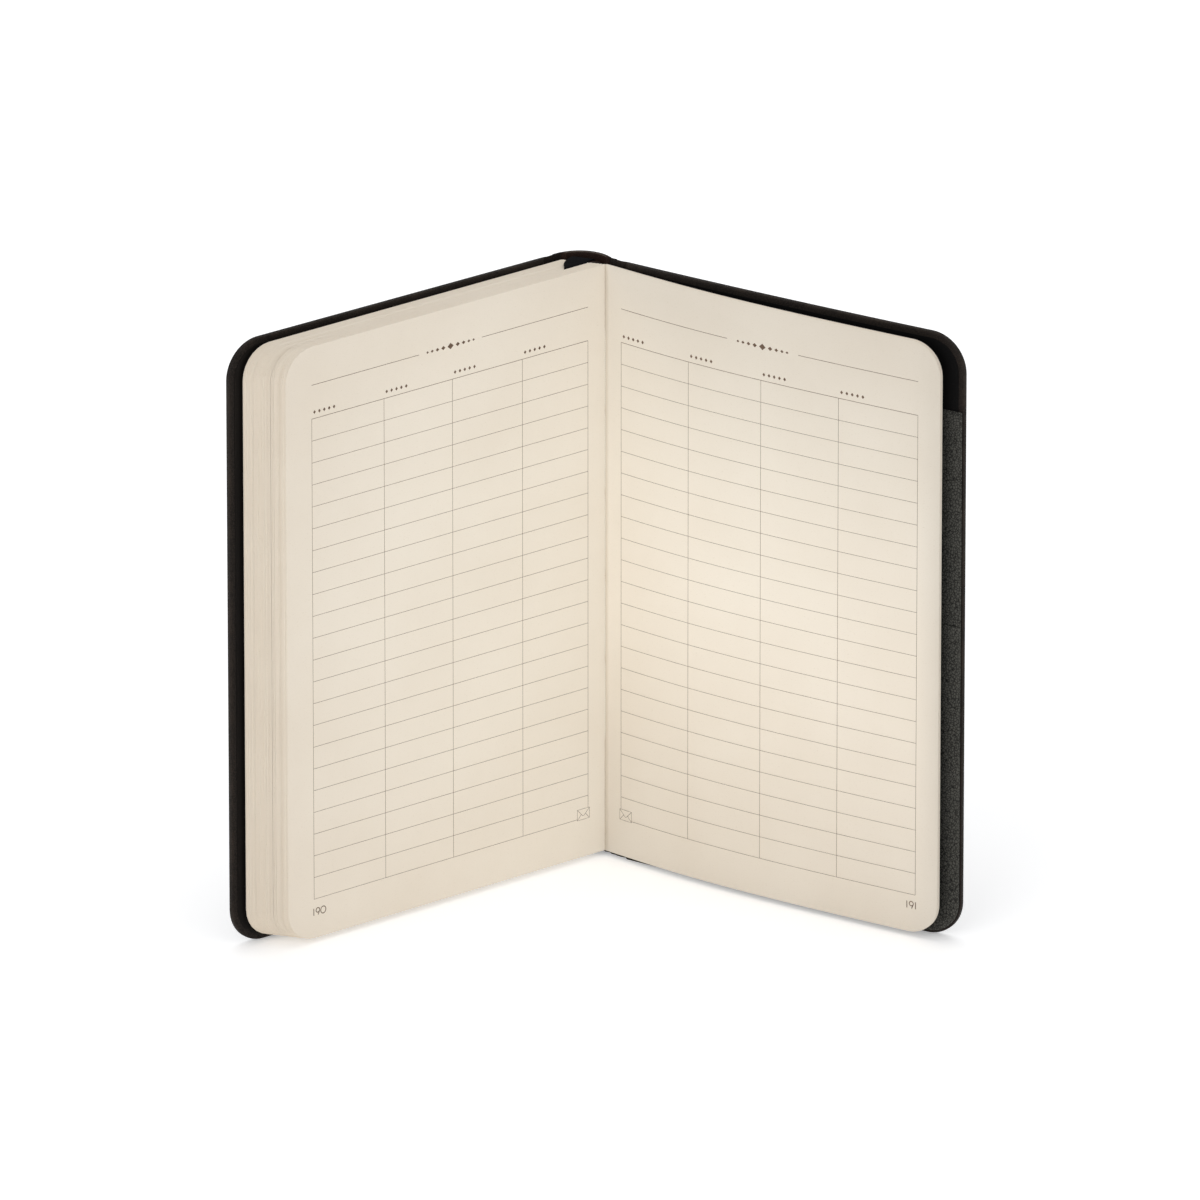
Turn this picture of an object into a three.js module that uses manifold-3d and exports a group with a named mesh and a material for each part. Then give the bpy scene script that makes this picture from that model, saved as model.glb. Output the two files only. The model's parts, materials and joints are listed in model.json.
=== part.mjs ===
// A pocket-size lined notebook, standing open in a V near its last pages. Millimetres, +Z up.
//
// The reader stands at -Y. The thick half of the book is on the left, with the front cover behind
// it; the last leaves and the back cover, with its pocket, are on the right. Everything is laid out
// from the gutter of the open spread, and the finished model is centred over its footprint.
import * as THREE from "three";
import { mergeVertices } from "three/addons/utils/BufferGeometryUtils.js";
import Module from "manifold-3d";

const wasm = await Module();
wasm.setup();

// Paper
const PAGE_WIDTH = 115;
const PAGE_HEIGHT = 177;
const PAGE_CORNER = 9.5;
const LEFT_PAGE_NUMBER = 190;
const LEAF_THICKNESS = 0.1;
const LEAF_COUNT_PER_SECTION = 8;
const FULL_SECTION_COUNT = 12;
const SECTION_GAP = 0.03;
const FLYLEAF_THICKNESS = 0.12;
const FLYLEAF_GAP = 0.06;

// Case
const COVER_SQUARE = 1.5; // how far the covers stand out past the pages at the head and the tail
const FRONT_COVER_OVERHANG = 3.5; // of a cover's width from its joint over the width of a page
const BACK_COVER_OVERHANG = 3;
const COVER_CORNER = 11;
const LEATHER_THICKNESS = 0.35;
const BOARD_THICKNESS = 0.95;
const TURN_IN_THICKNESS = 0.2;
const TURN_IN_WIDTH = 13;
const TURN_IN_CORNER = 3;
const PASTEDOWN_THICKNESS = 0.12;
const PASTEDOWN_INSET = 1.8;
const LAYER_GAP = 0.03;
const JOINT_GROOVE = 5.5; // from a cover's hinge line to the edge of its board
const JOINT_FOLD_RADIUS = 0.5;
const JOINT_CLEARANCE = 0.3;

// How the book stands open, in degrees
const LEFT_PAGE_ANGLE = 39.5; // page 190 comes forward from the gutter by this much
const FRONT_COVER_ANGLE = 39.0;
const BACK_COVER_ANGLE = 34.9; // at its joint; the soft board bends a little on the way out
const BACK_COVER_BEND = 3.6;
const RIGHT_PAGE_ANGLE = 42; // at the gutter
const RIGHT_PAGE_CURL = 12; // how far page 191 flattens on its way out
const RIGHT_PAGE_CURL_LENGTH = 45;
const BLOCK_SHEAR_ANGLE = 32.5; // the sections slide over each other when the spine faces back

// Joints, from the gutter
const FRONT_JOINT_ALONG = 7; // along page 190
const COVER_TO_BLOCK_GAP = 0.1;
const BACK_JOINT_ASIDE = 1.9;
const BACK_JOINT_BEHIND = 1;
const SPINE_RISE = 4.1;
const SPINE_BOARD_THICKNESS = 0.7;
const SPINE_BOARD_MARGIN = 2.2; // between the spine board's edge and the joint

// The last leaves, behind page 191
const RIGHT_LEAF_PITCH = 0.37; // away from the gutter, where the leaves stand a little apart
const FOLDED_PITCH = 0.14; // at the fold
const FAN_LENGTH = 15;
const RIGHT_LEAF_START = 0.55; // from the gutter to the first free point of a leaf

// Spine lining, headbands, thread and ribbon marker
const LINING_THICKNESS = 0.35;
const LINING_GAP = 0.1;
const LINING_MARGIN = 4; // from the lining's ends to the head and the tail of the pages
const HEADBAND_RADIUS = 0.8;
const HEADBAND_FROM = 1.6; // across the spine, from the open page
const HEADBAND_TO = 8.2;
const HEADBAND_DROP = 0.6; // of a headband's middle below the end of the pages
const THREAD_RADIUS = 0.2;
const STITCH_HEAD_MARGIN = 19; // from the ends of the thread to the head and the tail of the pages
const STITCH_TAIL_MARGIN = 33.5;
const RIBBON_WIDTH = 6.5;
const RIBBON_THICKNESS = 0.15;
const RIBBON_SLOT = 0.3; // the room between the two sections that the marker lies in
const SECTION_COUNT_ABOVE_RIBBON = 4;
const RIBBON_LIFT = 0.45; // of the marker over the head of the block
const RIBBON_ROOT = 12; // how far the marker goes down behind the headband
const RIBBON_OFFSET = 1; // of the marker from the middle of the headband
const RIBBON_TURN_LENGTH = 3; // over which the marker turns square to its slant
const RIBBON_END_ALONG = 62; // along the page and up, of its hidden lower end
const RIBBON_END_HEIGHT = 38;

// Pocket inside the back cover
const POCKET_MOUTH_DROP = 22; // from the head of the cover to the mouth of the pocket
const CARD_POCKET_MOUTH_DROP = 64; // from there to the mouth of the card pocket
const POCKET_FROM = 14; // from the joint
const POCKET_EDGE_MARGIN = 1.2;
const POCKET_BOTTOM_MARGIN = 1.2;
const POCKET_CLOTH = 0.35;
const GUSSET_WIDTH = 9;
const GUSSET_THICKNESS = 0.12;

// Fineness of the curves
const CORNER_SEGMENTS = 8;
const BEND_STEPS = 12;
const SPINE_SEGMENTS = 16;
const FOLD_SIDES = 12;
const WELD = 1e-4;

const degrees = THREE.MathUtils.degToRad;
const COVER_HEIGHT = PAGE_HEIGHT + 2 * COVER_SQUARE;
const FRONT_COVER_WIDTH = PAGE_WIDTH + FRONT_COVER_OVERHANG;
const BACK_COVER_WIDTH = PAGE_WIDTH + BACK_COVER_OVERHANG;
const POCKET_MOUTH = COVER_HEIGHT - POCKET_MOUTH_DROP;
const CARD_POCKET_MOUTH = POCKET_MOUTH - CARD_POCKET_MOUTH_DROP;
const SECTION_THICKNESS = LEAF_COUNT_PER_SECTION * LEAF_THICKNESS;
const HALF_SECTION_THICKNESS = SECTION_THICKNESS / 2;
const PAGE_BOTTOM = COVER_SQUARE;
const PAGE_TOP = PAGE_BOTTOM + PAGE_HEIGHT;
const BLOCK_SHEAR = Math.tan(degrees(BLOCK_SHEAR_ANGLE));
const BLOCK_THICKNESS =
  HALF_SECTION_THICKNESS + FULL_SECTION_COUNT * (SECTION_THICKNESS + SECTION_GAP) + RIBBON_SLOT;
const FLYLEAF_DEPTH = BLOCK_THICKNESS + FLYLEAF_GAP;
const BOARD_FACE = LEATHER_THICKNESS / 2 + LAYER_GAP;
const TURN_IN_FACE = BOARD_FACE + BOARD_THICKNESS + LAYER_GAP;
const PASTEDOWN_FACE = TURN_IN_FACE + TURN_IN_THICKNESS + LAYER_GAP;
const COVER_INNER_FACE = PASTEDOWN_FACE + PASTEDOWN_THICKNESS;
const JOINT_REACH = JOINT_FOLD_RADIUS + JOINT_CLEARANCE;

const PAPER = new THREE.MeshStandardMaterial({ color: 0xe9dfcf, roughness: 0.85, metalness: 0 });
const LEATHER = new THREE.MeshStandardMaterial({ color: 0x17150f, roughness: 0.5, metalness: 0 });
const BOARD = new THREE.MeshStandardMaterial({ color: 0x8c8478, roughness: 0.9, metalness: 0 });
const BLACK_PAPER = new THREE.MeshStandardMaterial({ color: 0x0d0d0d, roughness: 0.7, metalness: 0 });
const POCKET_FABRIC = new THREE.MeshStandardMaterial({ color: 0x3c3c3a, roughness: 0.75, metalness: 0 });
const SATIN = new THREE.MeshStandardMaterial({ color: 0x1b1615, roughness: 0.45, metalness: 0 });
const COTTON = new THREE.MeshStandardMaterial({ color: 0xe8e2d4, roughness: 0.9, metalness: 0 });

/** A closed geometry as a manifold-3d solid, with its shared vertices merged. */
function toSolid(geometry) {
  const bare = geometry.clone();
  bare.deleteAttribute("normal");
  bare.deleteAttribute("uv");
  const merged = mergeVertices(bare, WELD);
  return new wasm.Manifold(
    new wasm.Mesh({
      numProp: 3,
      vertProperties: merged.attributes.position.array,
      triVerts: new Uint32Array(merged.index.array),
    }),
  );
}

/** A manifold-3d solid as a geometry with flat faces. */
function toGeometry(solid) {
  const mesh = solid.getMesh();
  const geometry = new THREE.BufferGeometry();
  geometry.setAttribute("position", new THREE.BufferAttribute(new Float32Array(mesh.vertProperties), 3));
  geometry.setIndex(new THREE.BufferAttribute(new Uint32Array(mesh.triVerts), 1));
  const faceted = geometry.toNonIndexed();
  faceted.computeVertexNormals();
  return faceted;
}

/** A named piece with its own copy of a material. */
function piece(name, geometry, material) {
  const mesh = new THREE.Mesh(geometry, material.clone());
  mesh.name = name;
  return mesh;
}

/** A straight prism over a plan outline, between two heights. */
function planPrism(outline, bottom, top) {
  const shape = outline instanceof THREE.Shape ? outline : new THREE.Shape(outline);
  const settings = { depth: top - bottom, bevelEnabled: false, curveSegments: SPINE_SEGMENTS };
  return new THREE.ExtrudeGeometry(shape, settings).translate(0, 0, bottom);
}

/** A prism across the thickness of a sheet: a rectangle whose outer corners are rounded. */
function facePrism({ from, to, bottom, top, corner, topCorner = corner, depth }) {
  const shape = new THREE.Shape();
  shape.moveTo(from, bottom);
  shape.lineTo(to - corner, bottom);
  shape.absarc(to - corner, bottom + corner, corner, -Math.PI / 2, 0, false);
  shape.lineTo(to, top - topCorner);
  if (topCorner > 0) shape.absarc(to - corner, top - corner, corner, 0, Math.PI / 2, false);
  shape.lineTo(from, top);
  shape.closePath();
  const settings = { depth: 2 * depth, bevelEnabled: false, curveSegments: CORNER_SEGMENTS };
  return new THREE.ExtrudeGeometry(shape, settings).rotateX(Math.PI / 2).translate(0, depth, 0);
}

/** The line that a bent sheet follows, as a function of the distance along it. */
function bentPath(headingAt) {
  const integrationSteps = 64;
  return (distance) => {
    const step = distance / integrationSteps;
    let x = 0;
    let y = 0;
    for (let i = 0; i < integrationSteps; i++) {
      const heading = headingAt((i + 0.5) * step);
      x += Math.cos(heading) * step;
      y += Math.sin(heading) * step;
    }
    return { x, y, heading: headingAt(distance) };
  };
}

/** The plan outline of a layer that follows a path between two offsets to its left. */
function layerOutline(path, from, to, near, far, steps) {
  const sideAt = (offset) =>
    Array.from({ length: steps + 1 }, (_, i) => {
      const distance = from + ((to - from) * i) / steps;
      const aside = typeof offset === "function" ? offset(distance) : offset;
      const { x, y, heading } = path(distance);
      return new THREE.Vector2(x - Math.sin(heading) * aside, y + Math.cos(heading) * aside);
    });
  return [...sideAt(near), ...sideAt(far).reverse()];
}

/** A layer of a leaf or a cover: bent in plan, with rounded outer corners. */
function layer({ path, from, to, near, far, bottom, top, corner, topCorner, steps = 1 }) {
  const outline = layerOutline(path, from, to, near, far, steps);
  const face = facePrism({
    from: -PAGE_WIDTH,
    to: Math.max(...outline.map((point) => point.x)),
    bottom,
    top,
    corner,
    topCorner,
    depth: PAGE_WIDTH,
  });
  return toSolid(planPrism(outline, bottom, top)).intersect(toSolid(face));
}

/** The leather, board and pastedown of one cover. Outward is +1 or -1 along the path's left. */
function coverPieces({ label, path, width, outward, steps, materials }) {
  const between = (near, far) => ({
    near: -outward * near,
    far: -outward * far,
    path,
    steps,
  });
  const skin = LEATHER_THICKNESS / 2;
  const sheetLayer = layer({
    ...between(-skin, skin),
    from: JOINT_REACH,
    to: width,
    bottom: 0,
    top: COVER_HEIGHT,
    corner: COVER_CORNER,
  });
  const rim = layer({
    ...between(skin / 2, TURN_IN_FACE + TURN_IN_THICKNESS),
    from: JOINT_GROOVE,
    to: width,
    bottom: 0,
    top: COVER_HEIGHT,
    corner: COVER_CORNER,
  });
  const boardRoom = (clearance) =>
    layer({
      ...between(skin + clearance, TURN_IN_FACE - clearance),
      from: JOINT_GROOVE + LEATHER_THICKNESS + clearance,
      to: width - LEATHER_THICKNESS - clearance,
      bottom: LEATHER_THICKNESS + clearance,
      top: COVER_HEIGHT - LEATHER_THICKNESS - clearance,
      corner: COVER_CORNER - LEATHER_THICKNESS,
    });
  const turnInWindow = layer({
    ...between(BOARD_FACE, COVER_INNER_FACE),
    from: JOINT_GROOVE + TURN_IN_WIDTH,
    to: width - TURN_IN_WIDTH,
    bottom: TURN_IN_WIDTH,
    top: COVER_HEIGHT - TURN_IN_WIDTH,
    corner: TURN_IN_CORNER,
  });
  const pastedown = layer({
    ...between(PASTEDOWN_FACE, COVER_INNER_FACE),
    from: JOINT_GROOVE + PASTEDOWN_INSET / 2,
    to: width - PASTEDOWN_INSET,
    bottom: PASTEDOWN_INSET,
    top: COVER_HEIGHT - PASTEDOWN_INSET,
    corner: COVER_CORNER - PASTEDOWN_INSET,
  });
  const leather = sheetLayer.add(rim).subtract(boardRoom(0)).subtract(turnInWindow);
  return [
    piece(`${label}_cover_leather`, toGeometry(leather), materials.leather),
    piece(`${label}_cover_board`, toGeometry(boardRoom(LAYER_GAP)), materials.board),
    piece(`${label}_pastedown`, toGeometry(pastedown), materials.pastedown),
  ];
}

/** The group of the left half: X runs along page 190 to its fore-edge, and -Y goes to the cover. */
function makeTextBlock() {
  const group = new THREE.Group();
  group.rotation.z = Math.PI + degrees(LEFT_PAGE_ANGLE);
  const shear = new THREE.Matrix4().makeShear(0, 0, -BLOCK_SHEAR, 0, 0, 0);
  const pageFace = toSolid(
    facePrism({
      from: -PAGE_WIDTH,
      to: PAGE_WIDTH,
      bottom: PAGE_BOTTOM,
      top: PAGE_TOP,
      corner: PAGE_CORNER,
      depth: PAGE_WIDTH,
    }),
  );

  const sheets = (depth, thickness, fold) => {
    const outline = new THREE.Shape();
    outline.moveTo(PAGE_WIDTH, -depth);
    outline.lineTo(fold, -depth);
    if (fold > 0) outline.absarc(fold, -depth - thickness / 2, fold, Math.PI / 2, (3 * Math.PI) / 2, false);
    else outline.lineTo(0, -depth - thickness);
    outline.lineTo(PAGE_WIDTH, -depth - thickness);
    outline.closePath();
    const prism = toSolid(planPrism(outline, PAGE_BOTTOM, PAGE_TOP)).intersect(pageFace);
    return toGeometry(prism).applyMatrix4(shear);
  };

  const halfSection = sheets(0, HALF_SECTION_THICKNESS, 0).translate(THREAD_RADIUS, 0, 0);
  group.add(piece(`section_${FULL_SECTION_COUNT + 1}_front_half`, halfSection, PAPER));
  let depth = HALF_SECTION_THICKNESS;
  let ribbonDepth = 0;
  for (let number = FULL_SECTION_COUNT; number >= 1; number--) {
    if (number === FULL_SECTION_COUNT - SECTION_COUNT_ABOVE_RIBBON) {
      ribbonDepth = depth + (SECTION_GAP + RIBBON_SLOT) / 2;
      depth += RIBBON_SLOT;
    }
    depth += SECTION_GAP;
    const label = `section_${String(number).padStart(2, "0")}`;
    group.add(piece(label, sheets(depth, SECTION_THICKNESS, SECTION_THICKNESS / 2), PAPER));
    depth += SECTION_THICKNESS;
  }
  group.add(piece("front_flyleaf", sheets(FLYLEAF_DEPTH, FLYLEAF_THICKNESS, 0), BLACK_PAPER));
  addSpineDressing(group, ribbonDepth);
  return group;
}

/** Lining, headbands, thread and ribbon marker, in the frame of the left half. */
function addSpineDressing(group, ribbonDepth) {
  const edge = new THREE.Vector2(BLOCK_SHEAR, -1).normalize();
  const outward = new THREE.Vector2(-edge.y, edge.x).negate();
  const spinePoint = (depth, out) =>
    new THREE.Vector2(BLOCK_SHEAR * depth, -depth).addScaledVector(outward, out);

  const first = HALF_SECTION_THICKNESS + SECTION_THICKNESS / 2;
  const lining = [
    spinePoint(first, LINING_GAP),
    spinePoint(BLOCK_THICKNESS, LINING_GAP),
    spinePoint(BLOCK_THICKNESS, LINING_GAP + LINING_THICKNESS),
    spinePoint(first, LINING_GAP + LINING_THICKNESS),
  ];
  const liningPrism = planPrism(lining, PAGE_BOTTOM + LINING_MARGIN, PAGE_TOP - LINING_MARGIN);
  group.add(piece("spine_lining", liningPrism, COTTON));

  const bandOut = LINING_GAP + HEADBAND_RADIUS;
  const bandFrom = spinePoint(HEADBAND_FROM, bandOut);
  const bandTo = spinePoint(HEADBAND_TO, bandOut);
  const bandLength = bandFrom.distanceTo(bandTo);
  for (const [name, height] of [
    ["headband_top", PAGE_TOP - HEADBAND_DROP],
    ["headband_bottom", PAGE_BOTTOM + HEADBAND_DROP],
  ]) {
    const rod = new THREE.CylinderGeometry(HEADBAND_RADIUS, HEADBAND_RADIUS, bandLength, FOLD_SIDES);
    const band = piece(name, rod, COTTON);
    band.position.set((bandFrom.x + bandTo.x) / 2, (bandFrom.y + bandTo.y) / 2, height);
    band.rotation.z = Math.atan2(bandTo.y - bandFrom.y, bandTo.x - bandFrom.x) - Math.PI / 2;
    group.add(band);
  }

  const threadBottom = PAGE_BOTTOM + STITCH_TAIL_MARGIN;
  const threadLength = PAGE_HEIGHT - STITCH_HEAD_MARGIN - STITCH_TAIL_MARGIN;
  const thread = new THREE.CylinderGeometry(THREAD_RADIUS, THREAD_RADIUS, threadLength, FOLD_SIDES / 2);
  thread.rotateX(Math.PI / 2).translate(-THREAD_RADIUS, 0, threadBottom + threadLength / 2);
  group.add(piece("sewing_thread", thread, COTTON));

  const climbOut = LINING_GAP + 2 * HEADBAND_RADIUS + RIBBON_LIFT;
  const ribbon = ribbonGeometry(spinePoint, edge, outward, climbOut, ribbonDepth);
  group.add(piece("ribbon_marker", ribbon, SATIN));
}

/** A flat marker: up behind the headband, over the head of the block and down between two sections. */
function ribbonGeometry(spinePoint, edge, outward, climbOut, ribbonDepth) {
  const climb = spinePoint((HEADBAND_FROM + HEADBAND_TO) / 2 + RIBBON_OFFSET, climbOut);
  const crest = PAGE_TOP + RIBBON_LIFT;
  const along = new THREE.Vector3(edge.x, edge.y, 0);
  const out = new THREE.Vector3(outward.x, outward.y, 0);
  const across = new THREE.Vector3(1, 0, 0);
  const up = new THREE.Vector3(0, 0, 1);
  const toReader = new THREE.Vector3(0, 1, 0);
  const entryAlong = BLOCK_SHEAR * ribbonDepth + RIBBON_WIDTH / 2 + RIBBON_OFFSET;
  const entry = new THREE.Vector3(entryAlong, -ribbonDepth, PAGE_TOP);
  const end = new THREE.Vector3(RIBBON_END_ALONG, -ribbonDepth, RIBBON_END_HEIGHT);
  const fall = end.clone().sub(entry).normalize();
  const slant = new THREE.Vector3(-fall.z, 0, fall.x);
  const mix = (a, b, t) => a.clone().lerp(b, t).normalize();
  const behind = (height, inward) =>
    new THREE.Vector3(climb.x, climb.y, height).addScaledVector(out, -inward * RIBBON_LIFT);
  const above = (before, height) =>
    new THREE.Vector3(entry.x, entry.y - before * RIBBON_LIFT, height);
  const below = (distance) => entry.clone().addScaledVector(fall, distance);
  const stations = [
    { at: behind(PAGE_TOP - RIBBON_ROOT, 0), width: along, normal: out },
    { at: behind(PAGE_TOP - RIBBON_OFFSET, 0), width: along, normal: out },
    { at: behind(crest, 0.6), width: along, normal: mix(out, up, 0.5) },
    { at: behind(crest + 0.8 * RIBBON_LIFT, 2.6), width: mix(along, across, 0.25), normal: up },
    { at: above(3.5, crest + 0.7 * RIBBON_LIFT), width: mix(along, across, 0.75), normal: up },
    { at: above(0.9, crest), width: across, normal: mix(up, toReader, 0.4) },
    { at: above(0, PAGE_TOP + RIBBON_THICKNESS), width: across, normal: toReader },
    { at: below(RIBBON_TURN_LENGTH), width: mix(across, slant, 0.5), normal: toReader },
    { at: below(2 * RIBBON_TURN_LENGTH), width: slant, normal: toReader },
    { at: end, width: slant, normal: toReader },
  ];
  return stripGeometry(stations, RIBBON_WIDTH, RIBBON_THICKNESS);
}

/** A closed flat strip through stations that each give a place, a width direction and a normal. */
function stripGeometry(stations, width, thickness) {
  const positions = [];
  for (const { at, width: side, normal } of stations) {
    for (const [s, t] of [[-1, -1], [1, -1], [1, 1], [-1, 1]]) {
      const corner = at.clone().addScaledVector(side, (s * width) / 2);
      corner.addScaledVector(normal, (t * thickness) / 2);
      positions.push(...corner.toArray());
    }
  }
  const faces = [0, 1, 2, 0, 2, 3];
  for (let i = 0; i + 1 < stations.length; i++) {
    for (let k = 0; k < 4; k++) {
      const a = 4 * i + k;
      const b = 4 * i + ((k + 1) % 4);
      faces.push(a, b + 4, b, a, a + 4, b + 4);
    }
  }
  const last = 4 * (stations.length - 1);
  faces.push(last, last + 2, last + 1, last, last + 3, last + 2);
  const geometry = new THREE.BufferGeometry();
  geometry.setAttribute("position", new THREE.Float32BufferAttribute(positions, 3));
  geometry.setIndex(faces);
  const faceted = geometry.toNonIndexed();
  faceted.computeVertexNormals();
  return faceted;
}

/** Where the front cover turns, from the gutter. */
function frontJoint() {
  const angle = degrees(LEFT_PAGE_ANGLE);
  const depth = FLYLEAF_DEPTH + FLYLEAF_THICKNESS + COVER_TO_BLOCK_GAP + COVER_INNER_FACE;
  return new THREE.Vector2(
    -Math.cos(angle) * FRONT_JOINT_ALONG - Math.sin(angle) * depth,
    -Math.sin(angle) * FRONT_JOINT_ALONG + Math.cos(angle) * depth,
  );
}

/** The rounded spine between the two joints, and the folds of leather at the joints. */
function makeSpine() {
  const group = new THREE.Group();
  const front = frontJoint();
  const back = new THREE.Vector2(BACK_JOINT_ASIDE, BACK_JOINT_BEHIND);
  const chord = back.clone().sub(front);
  const radius = (chord.lengthSq() / 4 + SPINE_RISE ** 2) / (2 * SPINE_RISE);
  const away = new THREE.Vector2(-chord.y, chord.x).normalize();
  const centre = front.clone().add(back).multiplyScalar(0.5).addScaledVector(away, SPINE_RISE - radius);
  const angleOf = (point) => Math.atan2(point.y - centre.y, point.x - centre.x);

  const arcStrip = (outer, inner, margin) => {
    const start = angleOf(front) - margin / radius;
    const end = angleOf(back) + margin / radius;
    const shape = new THREE.Shape();
    shape.absarc(centre.x, centre.y, radius + outer, start, end, true);
    shape.absarc(centre.x, centre.y, radius + inner, end, start, false);
    shape.closePath();
    return shape;
  };
  const skin = LEATHER_THICKNESS / 2;
  const leather = arcStrip(skin, -skin, JOINT_REACH);
  const board = arcStrip(-BOARD_FACE, -BOARD_FACE - SPINE_BOARD_THICKNESS, SPINE_BOARD_MARGIN);
  group.add(piece("spine_leather", planPrism(leather, 0, COVER_HEIGHT), LEATHER));
  group.add(piece("spine_board", planPrism(board, LAYER_GAP, COVER_HEIGHT - LAYER_GAP), BOARD));
  for (const [name, joint] of [
    ["front_joint_fold", front],
    ["back_joint_fold", back],
  ]) {
    const rod = new THREE.CylinderGeometry(JOINT_FOLD_RADIUS, JOINT_FOLD_RADIUS, COVER_HEIGHT, FOLD_SIDES);
    const fold = piece(name, rod.rotateX(Math.PI / 2), LEATHER);
    fold.position.set(joint.x, joint.y, COVER_HEIGHT / 2);
    group.add(fold);
  }
  return group;
}

/** The front cover: X runs from its joint to its fore-edge, and -Y is its outside. */
function makeFrontCover() {
  const group = new THREE.Group();
  const joint = frontJoint();
  group.position.set(joint.x, joint.y, 0);
  group.rotation.z = Math.PI + degrees(FRONT_COVER_ANGLE);
  const pieces = coverPieces({
    label: "front",
    path: bentPath(() => 0),
    width: FRONT_COVER_WIDTH,
    outward: -1,
    steps: 1,
    materials: { leather: LEATHER, board: BOARD, pastedown: BLACK_PAPER },
  });
  group.add(...pieces);
  return group;
}

/** The back cover with its pocket: X runs from its joint to its fore-edge, and +Y is its outside. */
function makeBackCover() {
  const group = new THREE.Group();
  group.position.set(BACK_JOINT_ASIDE, BACK_JOINT_BEHIND, 0);
  group.rotation.z = -degrees(BACK_COVER_ANGLE);
  const path = bentPath((distance) => (degrees(BACK_COVER_BEND) * distance) / BACK_COVER_WIDTH);
  const pieces = coverPieces({
    label: "back",
    path,
    width: BACK_COVER_WIDTH,
    outward: 1,
    steps: BEND_STEPS,
    materials: { leather: LEATHER, board: BOARD, pastedown: BLACK_PAPER },
  });
  group.add(...pieces);

  const pocketEdge = BACK_COVER_WIDTH - POCKET_EDGE_MARGIN;
  const inside = (face, thickness) => ({ path, steps: BEND_STEPS, near: -face, far: -face - thickness });
  const gussetFace = COVER_INNER_FACE + LAYER_GAP;
  const panelFace = gussetFace + GUSSET_THICKNESS + LAYER_GAP;
  const cardFace = panelFace + POCKET_CLOTH + LAYER_GAP;
  const panel = (face, mouth) =>
    layer({
      ...inside(face, POCKET_CLOTH),
      from: POCKET_FROM,
      to: pocketEdge,
      bottom: POCKET_BOTTOM_MARGIN,
      top: mouth,
      corner: COVER_CORNER - POCKET_EDGE_MARGIN,
      topCorner: 0,
    });
  group.add(piece("pocket_panel", toGeometry(panel(panelFace, POCKET_MOUTH)), POCKET_FABRIC));
  group.add(piece("card_pocket_panel", toGeometry(panel(cardFace, CARD_POCKET_MOUTH)), POCKET_FABRIC));
  const gussetTop = POCKET_MOUTH - GUSSET_WIDTH;
  for (const [name, from, to] of [
    ["pocket_gusset_spine_side", POCKET_FROM, POCKET_FROM + GUSSET_WIDTH],
    ["pocket_gusset_fore_edge", pocketEdge - GUSSET_WIDTH, pocketEdge - POCKET_EDGE_MARGIN],
  ]) {
    const outline = layerOutline(path, from, to, -gussetFace, -gussetFace - GUSSET_THICKNESS, 2);
    group.add(piece(name, planPrism(outline, COVER_CORNER, gussetTop), BLACK_PAPER));
  }
  return group;
}

/** The last leaves and the black flyleaf: X leaves the gutter along page 191. */
function makeRightLeaves() {
  const group = new THREE.Group();
  group.rotation.z = -degrees(RIGHT_PAGE_ANGLE);
  const path = bentPath(
    (distance) => degrees(RIGHT_PAGE_CURL) * (1 - 1 / (1 + (distance / RIGHT_PAGE_CURL_LENGTH) ** 2)),
  );
  const leaf = (order, thickness) => {
    const behind = (distance) =>
      order * (RIGHT_LEAF_PITCH - (RIGHT_LEAF_PITCH - FOLDED_PITCH) * Math.exp(-distance / FAN_LENGTH));
    return toGeometry(
      layer({
        path,
        steps: 2 * BEND_STEPS,
        near: behind,
        far: (distance) => behind(distance) + thickness,
        from: RIGHT_LEAF_START,
        to: PAGE_WIDTH,
        bottom: PAGE_BOTTOM,
        top: PAGE_TOP,
        corner: PAGE_CORNER,
      }),
    );
  };
  const leafCount = LEAF_COUNT_PER_SECTION / 2;
  for (let order = 0; order < leafCount; order++) {
    const number = LEFT_PAGE_NUMBER + 1 + 2 * order;
    group.add(piece(`leaf_${number}`, leaf(order, LEAF_THICKNESS), PAPER));
  }
  group.add(piece("rear_flyleaf", leaf(leafCount, FLYLEAF_THICKNESS), BLACK_PAPER));
  return group;
}

const book = new THREE.Group();
book.add(makeTextBlock(), makeSpine(), makeFrontCover(), makeBackCover(), makeRightLeaves());

// The origin is on the floor, under the middle of the book's outline.
const group = new THREE.Group();
group.add(book);
group.updateMatrixWorld(true);
const bounds = new THREE.Box3().setFromObject(book, true);
book.position.set(
  -(bounds.min.x + bounds.max.x) / 2,
  -(bounds.min.y + bounds.max.y) / 2,
  -bounds.min.z,
);

export default group;
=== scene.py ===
import json
import logging
import math
from collections.abc import Callable, Sequence
from dataclasses import dataclass, field, replace
from enum import Enum
from functools import cache

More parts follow.
